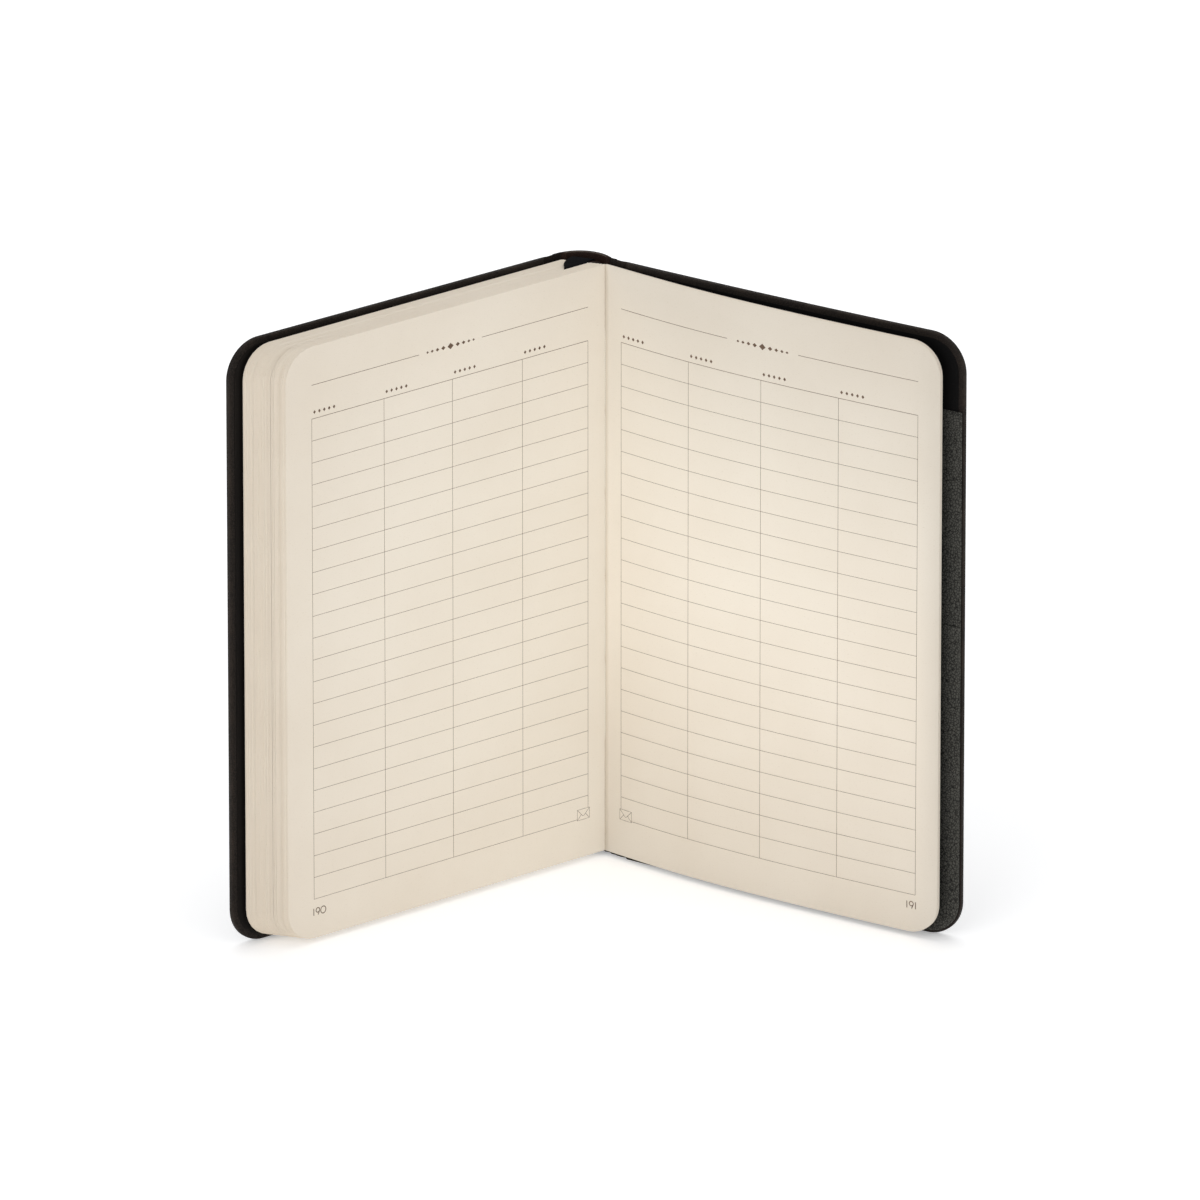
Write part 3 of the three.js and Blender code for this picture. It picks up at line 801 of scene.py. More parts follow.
class RowOfCopies:
    """Geometry Nodes: copies of one shape at equal steps, each slid a little at random."""

    INPUTS = {
        "Geometry": "NodeSocketGeometry",
        "Count": "NodeSocketInt",
        "Step": "NodeSocketVector",
        "Slide": "NodeSocketVector",
        "Lift": "NodeSocketVector",
        "Seed": "NodeSocketInt",
        "Finish": "NodeSocketMaterial",
    }
    LIFT_SEED = 57.0

    def __init__(self) -> None:
        """Builds the tree once."""
        self.tree = bpy.data.node_groups.new("row of copies", "GeometryNodeTree")
        sockets = self.tree.interface
        self.ids = {
            name: sockets.new_socket(name, in_out="INPUT", socket_type=kind).identifier
            for name, kind in self.INPUTS.items()
        }
        sockets.new_socket("Geometry", in_out="OUTPUT", socket_type="NodeSocketGeometry")
        graph = Graph(self.tree)
        given = graph.node("NodeGroupInput").outputs
        line = graph.node("GeometryNodeMeshLine", {"Count": given["Count"], "Offset": given["Step"]}, mode="OFFSET")
        both = [self._random(graph, given, "Slide", 0.0), self._random(graph, given, "Lift", self.LIFT_SEED)]
        shift = {"Geometry": line.outputs[0], "Offset": graph.vector("ADD", dict(enumerate(both)))}
        points = graph.node("GeometryNodeSetPosition", shift).outputs[0]
        copies = graph.node("GeometryNodeInstanceOnPoints", {"Points": points, "Instance": given["Geometry"]})
        real = graph.node("GeometryNodeRealizeInstances", {0: copies.outputs[0]}).outputs[0]
        dressed = graph.node("GeometryNodeSetMaterial", {"Geometry": real, "Material": given["Finish"]})
        graph.node("NodeGroupOutput", {0: dressed.outputs[0]})

    @staticmethod
    def _random(graph: Graph, given: Sequence[Socket], reach: str, shift: float) -> Socket:
        """A random share of an input for each copy.

        Args:
            graph: The tree's graph.
            given: The tree's inputs.
            reach: The name of the input.
            shift: What is added to the seed.

        Returns:
            The share, from minus to plus the input.
        """
        seed = graph.math("ADD", given["Seed"], shift)
        chance = graph.node("FunctionNodeRandomValue", {"Seed": seed, 2: -1.0, 3: 1.0}, data_type="FLOAT")
        return graph.vector("SCALE", {0: given[reach], "Scale": chance.outputs[1]})

    def spread(
        self, piece: bpy.types.Object, finish: Finish, count: int, step: Vector,
        slide: Vector = Vector(), lift: Vector = Vector(), seed: int = 1,
    ) -> None:
        """Repeats a piece's mesh and leaves it a plain mesh.

        Args:
            piece: The object that holds the first copy.
            finish: The finish of all copies.
            count: How many there are.
            step: From one to the next, in metres.
            slide: The most that a copy slides one way.
            lift: The most that it slides the other way.
            seed: The seed of the slides.
        """
        modifier = piece.modifiers.new("row", "NODES")
        modifier.node_group = self.tree
        values = {"Count": count, "Step": step, "Slide": slide, "Lift": lift, "Seed": seed, "Finish": finish.material()}
        for name, value in values.items():
            modifier[self.ids[name]] = value
        bpy.context.view_layer.update()
        done = piece.evaluated_get(bpy.context.evaluated_depsgraph_get())
        mesh = bpy.data.meshes.new_from_object(done)
        piece.modifiers.clear()
        old, piece.data = piece.data, mesh
        bpy.data.meshes.remove(old)
        mesh.name = piece.name


ROW = RowOfCopies()


def seat(piece: bpy.types.Object, body: Body, finish: Finish, *nodes: str) -> None:
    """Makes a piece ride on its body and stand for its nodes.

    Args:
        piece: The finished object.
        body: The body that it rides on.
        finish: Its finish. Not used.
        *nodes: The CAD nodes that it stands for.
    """
    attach(piece, body.value)
    if nodes:
        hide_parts(*nodes)
    LOG.info("%s rides on %s, for %s", piece.name, body.value, ", ".join(nodes) or "no node")


def dress_nodes(finish: Finish, *names: str) -> None:
    """Gives CAD nodes that stay a finish.

    Args:
        finish: The finish.
        *names: The nodes.
    """
    for name in names:
        node = frame["nodes"][name]
        if not node.material_slots:
            node.data.materials.append(None)
        for place in node.material_slots:
            place.material = finish.material()
        LOG.info("%s keeps its CAD shape", name)


# ---------------------------------------------------------------- the book


def joint_place(name: str) -> tuple[float, float]:
    """The plan of a joint's axis, in millimetres."""
    joint = next(j for j in frame["joints"] if j["name"] == name)
    return joint["pos_m"][0] / MM, joint["pos_m"][1] / MM


@dataclass
class Layout:
    """How the book stands: its joints, its gutter and the courses that its sheets follow."""

    cover_height: float = 180.0
    page_width: float = 115.0
    page_height: float = 177.0
    page_corner: float = 9.5
    page_bottom: float = 1.5
    left_page_angle: float = 39.5
    front_cover_angle: float = 39.0
    back_cover_angle: float = 34.9
    back_cover_bend: float = 3.6
    front_cover_width: float = 118.5
    back_cover_width: float = 118.0
    right_page_angle: float = 42.0
    right_page_curl: float = 12.0
    right_page_curl_length: float = 45.0
    shear_angle: float = 32.5
    spine_rise: float = 4.1
    pivot_aside: float = 0.26
    pivot_before: float = 1.45
    straight_reach: float = 130.0
    curved_reach: float = 119.0

    def __post_init__(self) -> None:
        """Lays the courses from the joints of the record."""
        self.front_joint = joint_place("front_cover")
        self.back_joint = joint_place("back_cover")
        pivot = joint_place("spread")
        self.gutter = (pivot[0] - self.pivot_aside, pivot[1] + self.pivot_before)
        self.page_top = self.page_bottom + self.page_height
        self.shear = math.tan(math.radians(self.shear_angle))
        left = math.pi + math.radians(self.left_page_angle)
        front = math.pi + math.radians(self.front_cover_angle)
        self.left_page = Course(self.gutter, lambda s: left, self.straight_reach)
        self.front_cover = Course(self.front_joint, lambda s: front, self.straight_reach)
        self.back_cover = Course(self.back_joint, self._back_heading, self.curved_reach)
        self.right_page = Course(self.gutter, self._right_heading, self.curved_reach)
        self.spine = self._spine_course()

    def _back_heading(self, along: float) -> float:
        """The heading of the back cover."""
        return math.radians(self.back_cover_bend * along / self.back_cover_width - self.back_cover_angle)

    def _right_heading(self, along: float) -> float:
        """The heading of page 191, which flattens away from the gutter."""
        curl = 1 - 1 / (1 + (along / self.right_page_curl_length) ** 2)
        return math.radians(self.right_page_curl * curl - self.right_page_angle)

    def _spine_course(self) -> Course:
        """The arc of the spine, with its outside on the left.

        Returns:
            The course from the front joint to the back joint.
        """
        chord = np.array(self.back_joint) - np.array(self.front_joint)
        length = float(np.hypot(*chord))
        radius = (length**2 / 4 + self.spine_rise**2) / (2 * self.spine_rise)
        half = math.asin(length / 2 / radius)
        middle = math.atan2(chord[1], chord[0])
        self.spine_length = 2 * half * radius
        return Course(self.front_joint, lambda s: middle + half - s / radius, self.spine_length)


@dataclass
class PageStack:
    """The thick half: sewn sections of single leaves, with their folds at the spine."""

    layout: Layout
    leaf: float = 0.1
    leaf_body: float = 0.088
    leaves_in_section: int = 8
    full_sections: int = 12
    section_gap: float = 0.03
    ribbon_slot: float = 0.3
    slot_filled: float = 0.07
    section_above_ribbon: int = 8
    fold_start: float = 0.01
    fold_play: float = 0.01
    fold_reach: float = 0.7
    slide: float = 0.11
    lift: float = 0.04
    section_slide: float = 0.02
    seed: int = 190

    def __post_init__(self) -> None:
        """Works out how deep each section lies."""
        self.section = self.leaf * self.leaves_in_section
        depth = self.section / 2
        self.depths: dict[int, float] = {}
        for number in range(self.full_sections, 0, -1):
            if number == self.section_above_ribbon:
                self.ribbon_depth = depth + (self.section_gap + self.ribbon_slot) / 2
                depth += self.ribbon_slot
            depth += self.section_gap
            self.depths[number] = depth
            depth += self.section

    def _leaf(self, depth: float, start: float) -> Shape:
        """One flat leaf.

        Args:
            depth: How deep it lies below page 190.
            start: Where it starts beside the gutter.

        Returns:
            Its shape.
        """
        layout = self.layout
        shift = layout.shear * depth
        return Plate(
            layout.left_page, start + shift, layout.page_width + shift, layout.page_bottom, layout.page_top,
            level(-depth - self.leaf_body), level(-depth), corner=layout.page_corner, corner_steps=7,
        ).shape()

    def _fold(self, depth: float) -> Shape:
        """The rounded back of a folded section.

        Args:
            depth: How deep the section lies.

        Returns:
            Its shape, from the tail to the head.
        """
        layout = self.layout
        radius = self.section / 2
        turn = np.linspace(math.pi / 2, 3 * math.pi / 2, 13)
        left = -depth - radius + (radius - self.fold_play) * np.sin(turn)
        along = radius + radius * np.cos(turn) - layout.shear * left
        along = np.concatenate(([along[0] + self.fold_reach], along, [along[-1] + self.fold_reach]))
        left = np.concatenate((left[:1], left, left[-1:]))
        made = Shape()
        ends = (layout.page_bottom, layout.page_top)
        made.solid([made.add(layout.left_page.places(along, left, np.full(along.shape, z))) for z in ends])
        return made

    def build(self) -> None:
        """Makes the leaves and the fold of each section."""
        layout = self.layout
        place = layout.left_page.place
        step = place(layout.shear, -1.0) - place(0)
        slide, lift = place(self.slide) - place(0), Vector((0, 0, self.lift * MM))
        rng = np.random.default_rng(self.seed)
        for number in range(self.full_sections + 1, 0, -1):
            half = number == self.full_sections + 1
            depth = 0.0 if half else self.depths[number]
            label = f"section_{number:02d}" + ("_front_half" if half else "")
            leaf = self._leaf(depth, self.fold_start if half else self.section / 2)
            piece = leaf.piece(f"{label}_leaves", PAGE, smooth=False)
            count = self.leaves_in_section // (2 if half else 1)
            above = number - self.section_above_ribbon
            swell = self.slot_filled if above in (0, 1) else 0.0
            loose = (Vector(), Vector()) if half else (slide, lift)
            ROW.spread(piece, PAGE, count, step * (self.leaf + swell / (count - 1)), *loose, seed=number * 7)
            if above == 0:
                self._move(piece, -step * swell)
            if not half:
                share = float(rng.uniform(-self.section_slide, self.section_slide))
                self._move(piece, place(share) - place(0))
                fold = self._fold(depth).piece(f"{label}_fold", PAGE, outward=True)
                seat(fold, Body.BLOCK, PAGE, label)
            seat(piece, Body.BLOCK, PAGE, label)
        dress_nodes(BLACK_ENDPAPER, "front_flyleaf")

    @staticmethod
    def _move(piece: bpy.types.Object, move: Vector) -> None:
        """Moves a section's leaves by a hair, as sewn sections never line up."""
        for point in piece.data.vertices:
            point.co += move


@dataclass
class LastLeaves:
    """Page 191 and the leaves behind it, with the black flyleaf."""

    layout: Layout
    leaf: float = 0.1
    flyleaf: float = 0.12
    pitch: float = 0.37
    folded_pitch: float = 0.14
    fan_length: float = 15.0
    start: float = 0.02
    start_step: float = 0.1
    count: int = 4

    def behind(self, order: int, extra: float = 0.0) -> Offset:
        """How far a leaf's front lies behind page 191."""
        spread = self.pitch - self.folded_pitch
        return lambda along: order * (self.pitch - spread * np.exp(-np.asarray(along) / self.fan_length)) + extra

    def build(self) -> None:
        """Makes the four leaves and the flyleaf."""
        layout = self.layout
        for order in range(self.count + 1):
            last = order == self.count
            name = "rear_flyleaf" if last else f"leaf_{191 + 2 * order}"
            finish, thick = (BLACK_ENDPAPER, self.flyleaf) if last else (PAGE, self.leaf)
            start = self.start + self.start_step * order
            plate = Plate(
                layout.right_page, start, layout.page_width, layout.page_bottom, layout.page_top,
                self.behind(order), self.behind(order, thick), corner=layout.page_corner, pitch=1.5, corner_steps=14,
            )
            body = Body.BACK_COVER if order else Body.LAST_LEAVES
            seat(plate.shape().piece(f"{name}_sheet", finish), body, finish, name)


@dataclass
class Printing:
    """The table on each page of the spread: rules, ornament, numbers and a small envelope."""

    layout: Layout
    course: Course
    body: Body
    reading: int
    toward: int
    number: str
    uprights: tuple[float, ...]
    number_start: float
    number_base: float
    title_gap: tuple[float, float]
    lift: float
    header: float = 156.87
    row: float = 6.537
    rows: int = 22
    title: float = 166.9
    rule: float = 0.14
    fine_rule: float = 0.105
    number_stroke: float = 0.26
    envelope_stroke: float = 0.11
    longest_cut: float = 4.0
    proud: float = 0.014
    sunk: float = 0.01
    number_height: float = 2.1
    envelope_at: float = 7.9
    envelope_height: float = 14.3
    middle_diamond: tuple[float, float] = (1.1, 0.95)
    side_diamonds: tuple[float, ...] = (2.6, 4.7, 6.6, 8.3)
    side_size: float = 0.86
    side_taper: float = 0.05
    side_height: float = 0.85
    mark: tuple[float, float] = (0.46, 0.56)
    mark_start: float = 1.0
    mark_step: float = 1.75
    mark_rise: float = 1.9
    marks: int = 5

    # The strokes of each figure, in shares of its height, and the way from one to the next.
    DIGITS = {
        "0": [[(0.44 + 0.44 * math.sin(a), 0.5 + 0.5 * math.cos(a)) for a in np.linspace(0, 2 * math.pi, 25)]],
        "1": [[(0.0, 1.0), (0.0, 0.0)]],
        "9": [
            [(0.31 + 0.31 * math.sin(a), 0.68 + 0.32 * math.cos(a)) for a in np.linspace(0, 2 * math.pi, 21)],
            [(0.6, 0.56), (0.36, 0.0)],
        ],
    }
    ADVANCE = {"19": 0.38, "90": 0.8, "91": 0.96}

    # The box, the flap and the two seams of the envelope, from its middle.
    ENVELOPE = (
        ((-2.2, -1.6), (2.2, -1.6), (2.2, 1.6), (-2.2, 1.6), (-2.2, -1.6)),
        ((-2.2, 1.6), (-0.45, -0.25), (0.0, -0.55), (0.45, -0.25), (2.2, 1.6)),
        ((-2.2, -1.6), (-0.75, 0.05)),
        ((2.2, -1.6), (0.75, 0.05)),
    )

    def _stroke(self, made: Shape, line: Line, width: float) -> None:
        """Adds a thin inked line that follows the page.

        Args:
            made: The shape that takes it.
            line: Its points, as distance along the page and height.
            width: Its width.
        """
        points = [np.array(line[0], float)]
        for after in line[1:]:
            way = np.array(after, float) - points[-1]
            cuts = max(1, math.ceil(float(abs(way[0])) / self.longest_cut))
            points += [points[-1] + way * k / cuts for k in range(1, cuts + 1)]
        path = np.array(points)
        along = np.gradient(path, axis=0)
        if len(path) > 2 and np.allclose(path[0], path[-1]):
            along[0] = along[-1] = path[1] - path[-2]
        along = across(along)
        side = np.stack((-along[:, 1], along[:, 0]), -1) * width / 2
        out, back = self.toward * self.proud, -self.toward * self.sunk
        corners = [(path + side, out), (path - side, out), (path - side, back), (path + side, back)]
        rings = np.stack([self._raised(place, away) for place, away in corners], 1)
        made.solid([made.add(ring) for ring in rings])

    def _raised(self, place: np.ndarray, away: float) -> np.ndarray:
        """Points of the page at a distance from its face, in metres."""
        return self.course.places(place[:, 0], np.full(len(place), away), place[:, 1] + self.lift)

    def _ink(self, name: str, lines: Sequence[Line], width: float | None = None) -> bpy.types.Object:
        """One inked piece.

        Args:
            name: Its name, without the page number.
            lines: Its lines, or the outlines of its filled shapes.
            width: The width of the lines. Without it the shapes are filled.

        Returns:
            The object.
        """
        made = Shape()
        for line in lines:
            if width is None:
                faces = (self.toward * self.proud, -self.toward * self.sunk)
                made.solid([made.add(self._raised(np.array(line[:-1], float), away)) for away in faces])
            else:
                self._stroke(made, line, width)
        return made.piece(f"{name}_{self.number}", INK, smooth=False, outward=True)

    def _numerals(self) -> list[Line]:
        """The page number, in plain thin figures.

        Returns:
            Its strokes.
        """
        lines: list[Line] = []
        x, tall = self.number_start, self.number_height
        for digit, after in zip(self.number, self.number[1:] + " "):
            for stroke in self.DIGITS[digit]:
                lines.append([(x + self.reading * u * tall, self.number_base + v * tall) for u, v in stroke])
            x += self.reading * self.ADVANCE.get(digit + after, 0.0) * tall
        return lines

    @staticmethod
    def _lozenge(s: float, z: float, wide: float, tall: float) -> Line:
        """A small diamond."""
        return [(s - wide, z), (s, z + tall), (s + wide, z), (s, z - tall), (s - wide, z)]

    def _ornament(self) -> list[Line]:
        """Plain diamonds where a page of this kind has its title.

        Returns:
            Their outlines.
        """
        middle = sum(self.title_gap) / 2
        lines = [self._lozenge(middle, self.title, *self.middle_diamond)]
        for away in self.side_diamonds:
            size = self.side_size - away * self.side_taper
            for side in (-away, away):
                lines.append(self._lozenge(middle + side, self.title, size, size * self.side_height))
        return lines

    def _marks(self) -> list[Line]:
        """A small plain mark over each column.

        Returns:
            The outlines of its diamonds.
        """
        starts = self.uprights[:-1] if self.reading > 0 else self.uprights[1:]
        steps = [self.reading * (self.mark_start + self.mark_step * n) for n in range(self.marks)]
        return [self._lozenge(at + step, self.header + self.mark_rise, *self.mark) for at in starts for step in steps]

    def build(self) -> None:
        """Prints the page."""
        inner, outer = self.uprights[0], self.uprights[-1]
        foot, first = self.header - self.row * self.rows, self.header - self.row
        wide, tall = self.ENVELOPE[0][2]
        rules = self._ink("row_rules", [[(inner, first), (outer, first)]], self.fine_rule)
        ROW.spread(rules, INK, self.rows - 1, Vector((0, 0, -self.row * MM)))
        left, right = self.title_gap
        heads = [(inner, outer, self.header), (inner, left, self.title), (right, outer, self.title)]
        columns = [[(at, foot), (at, self.header)] for at in self.uprights[1:]]
        columns.append([(inner, self.envelope_height + tall), (inner, self.header)])
        columns.append([(self.envelope_at + wide, foot), (outer, foot)])
        envelope = [[(self.envelope_at + u, self.envelope_height + v) for u, v in line] for line in self.ENVELOPE]
        pieces = [
            rules,
            self._ink("header_rules", [[(start, z), (end, z)] for start, end, z in heads], self.rule),
            self._ink("column_rules", columns, self.fine_rule),
            self._ink("page_number", self._numerals(), self.number_stroke),
            self._ink("envelope_mark", envelope, self.envelope_stroke),
            self._ink("title_ornament", self._ornament()),
            self._ink("column_marks", self._marks()),
        ]
        for piece in pieces:
            seat(piece, self.body, INK)


@dataclass
class Case:
    """The case: two covers, the spine between them and the folds of leather at the joints."""

    layout: Layout
    skin: float = 0.175
    cover_inside: float = 1.385
    cover_corner: float = 11.0
    rim: float = 0.35
    flange: float = 1.6
    groove_end: float = 5.3
    groove: float = 0.42
    spine_start: float = 0.9
    spine_end: float = 0.9
    spine_thick: float = 1.02
    spine_rim: float = 0.3
    fold_overlap: float = 0.15
    fold_uv: float = 0.004
    shortest: float = 1e-5

    # Height over the end of a fold, and its share of the full thickness there.
    FOLD_ENDS = ((0.0, 0.35), (0.12, 0.8), (0.3, 1.0))

    def _profile(self, along: np.ndarray) -> np.ndarray:
        """How far the leather is pressed in along the joint groove."""
        rise = smooth_step(along, self.flange - 0.4, 3.0)
        return self.groove * rise * (1 - smooth_step(along, self.groove_end - 1.1, self.groove_end + 0.5))

    def _cover(self, course: Course, width: float, inward: int) -> Shape:
        """A board wrapped in leather, with a thin flange and a pressed groove at its joint.

        Args:
            course: The course of the cover.
            width: Its width.
            inward: Which side of the course is its inside: 1 for the left, -1 for the right.

        Returns:
            Its shape.
        """
        def outer(along: np.ndarray) -> np.ndarray:
            """The outside face."""
            return inward * (-self.skin + self._profile(along))

        def inner(along: np.ndarray) -> np.ndarray:
            """The inside face."""
            rise = smooth_step(along, self.groove_end - 0.3, self.groove_end + 0.5)
            return inward * ((self.skin + self._profile(along)) * (1 - rise) + self.cover_inside * rise)

        return Plate(
            course, self.flange, width, 0, self.layout.cover_height, *((outer, inner)[::inward]),
            corner=self.cover_corner, rim=self.rim, pitch=0.9, rows=12, corner_steps=14,
        ).shape()

    def _spine(self) -> Shape:
        """The rounded spine: leather over a thin board.

        Returns:
            Its shape.
        """
        layout = self.layout
        end = layout.spine_length - self.spine_end

        def inner(along: np.ndarray) -> np.ndarray:
            """The inside face, which steps down to bare leather at each side."""
            rise = smooth_step(along, self.spine_start + 0.2, self.spine_start + 1.1)
            return -self.skin - (self.spine_thick - self.skin) * rise * (1 - smooth_step(along, end - 1.1, end - 0.3))

        return Plate(
            layout.spine, self.spine_start, end, 0, layout.cover_height, inner, level(self.skin),
            rim=self.spine_rim, pitch=0.5, rows=12, hem=0.4,
        ).shape()

    def _strip(self, name: str, points: Sequence[Vector]) -> bpy.types.Object:
        """A fold of leather along a joint, from head to tail, with rounded ends.

        Args:
            name: The name of the piece.
            points: Its middle line in plan, in metres.

        Returns:
            The object.
        """
        path = np.array([[p.x, p.y] for p in points])
        along = across(np.gradient(path, axis=0))
        normal = np.stack((-along[:, 1], along[:, 0]), -1) * self.skin * MM
        middle = np.concatenate((path, path[::-1]))
        lean = np.concatenate((normal, -normal[::-1]))
        count, height = len(middle), self.layout.cover_height
        levels = [*self.FOLD_ENDS, (height * 0.5, 1.0), *((height - z, share) for z, share in self.FOLD_ENDS[::-1])]
        made = Shape()
        rings = []
        for z, share in levels:
            up = np.full((count, 1), z * MM)
            uv = np.concatenate((np.linspace(0, self.fold_uv, count)[:, None], up), 1)
            rings.append(made.add(np.concatenate((middle + lean * share, up), 1), uv))
        made.skin(rings)
        for ring, way in ((rings[0], -1), (rings[-1], 1)):
            for k in range(count // 2 - 1):
                made.faces.append([ring[k], ring[k + 1], ring[-2 - k], ring[-1 - k]][::way])
        return made.piece(name, COVER_LEATHER, outward=True)

    def _fold(self, name: str, bodies: tuple[Body, Body], *parts: tuple[Course, float, float]) -> None:
        """A fold of leather between two bodies, fixed where they stand now.

        Args:
            name: The name of the piece.
            bodies: The bodies at its two ends, named in the log.
            *parts: The course at each end, and the distances there that it covers.
        """
        points = [course.place(float(s)) for course, *ends in parts for s in np.linspace(*ends, 7)]
        kept = points[:1]
        for point in points[1:]:
            if (point - kept[-1]).length > self.shortest:
                kept.append(point)
        piece = self._strip(name, kept)
        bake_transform(piece)
        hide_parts(name.split("_")[0] + "_joint_fold")
        LOG.info("%s bends between %s and %s", name, bodies[0].value, bodies[1].value)

    def build(self) -> None:
        """Makes the covers, the spine and the folds."""
        layout = self.layout
        front = self._cover(layout.front_cover, layout.front_cover_width, 1)
        back = self._cover(layout.back_cover, layout.back_cover_width, -1)
        for shape, name, body, finish in (
            (front, "front_cover", Body.FRONT_COVER, COVER_LEATHER),
            (back, "back_cover", Body.BACK_COVER, COVER_LEATHER),
            (self._spine(), "spine", Body.BLOCK, SPINE_LEATHER),
        ):
            seat(shape.piece(f"{name}_skin", finish), body, finish, f"{name}_leather")
        reach, end = self.flange + self.fold_overlap, layout.spine_length
        self._fold(
            "front_joint_leather", (Body.FRONT_COVER, Body.BLOCK),
            (layout.front_cover, reach, 0.0), (layout.spine, 0.0, self.spine_start + self.fold_overlap),
        )
        self._fold(
            "back_joint_leather_spine_side", (Body.BLOCK, Body.LAST_LEAVES),
            (layout.spine, end - self.spine_end - self.fold_overlap, end - 0.3), (layout.spine, end - 0.2, end),
        )
        self._fold(
            "back_joint_leather_cover_side", (Body.LAST_LEAVES, Body.BACK_COVER),
            (layout.back_cover, 0.0, 0.4), (layout.back_cover, 0.6, reach),
        )
        dress_nodes(GREY_BOARD, "front_cover_board", "back_cover_board", "spine_board")
        # The front pastedown takes the lightened copy: painted light against the page block's shade.
        dress_nodes(BROWN_ENDPAPER_PAINTED_LIGHT, "front_pastedown")
        dress_nodes(BLACK_ENDPAPER, "back_pastedown")


@dataclass
class Pocket:
    """The expanding pocket inside the back cover: two cloth panels over folded gussets."""

    layout: Layout
    near: float = 14.0
    margin: float = 1.2
    outer_margin: float = 0.35
    panel_face: float = 1.715
    card_face: float = 2.095
    cloth: float = 0.35
    mouth: float = 158.0
    card_mouth: float = 94.0
    corner: float = 9.8
    rim: float = 0.12
    turned_edge: float = 3.5
    relief: float = 0.07
    seam_width: float = 0.22
    seam_depth: float = 0.06

    def _panel(self, face: float, mouth: float) -> Shape:
        """A cloth panel whose outer side is thicker, where the cloth is turned round its lining.

        Args:
            face: How far its back lies from the cover's course.
            mouth: The height of its upper edge.

        Returns:
            Its shape.
        """
        far = self.layout.back_cover_width - self.outer_margin
        edge = far - self.turned_edge

        def front(along: np.ndarray) -> np.ndarray:
            """The side that the reader sees."""
            seam = np.exp(-((np.asarray(along) - edge + 0.1) / self.seam_width) ** 2)
            flat = self.relief * (1 - smooth_step(along, edge - 0.25, edge + 0.1))
            return -face - self.cloth + flat + self.seam_depth * seam

        return Plate(
            self.layout.back_cover, self.near, far, self.margin, mouth, front, level(-face), corner=self.corner,
            top_corner=0.0, rim=self.rim, pitch=0.7, rows=16, corner_steps=12, rim_steps=3, hem=0.4,
        ).shape()

    def build(self) -> None:
        """Makes the two panels."""
        for name, face, mouth in (
            ("pocket", self.panel_face, self.mouth),
            ("card_pocket", self.card_face, self.card_mouth),
        ):
            panel = self._panel(face, mouth).piece(f"{name}_cloth_panel", POCKET_CLOTH)
            seat(panel, Body.BACK_COVER, POCKET_CLOTH, f"{name}_panel")
        dress_nodes(BLACK_ENDPAPER, "pocket_gusset_spine_side", "pocket_gusset_fore_edge")


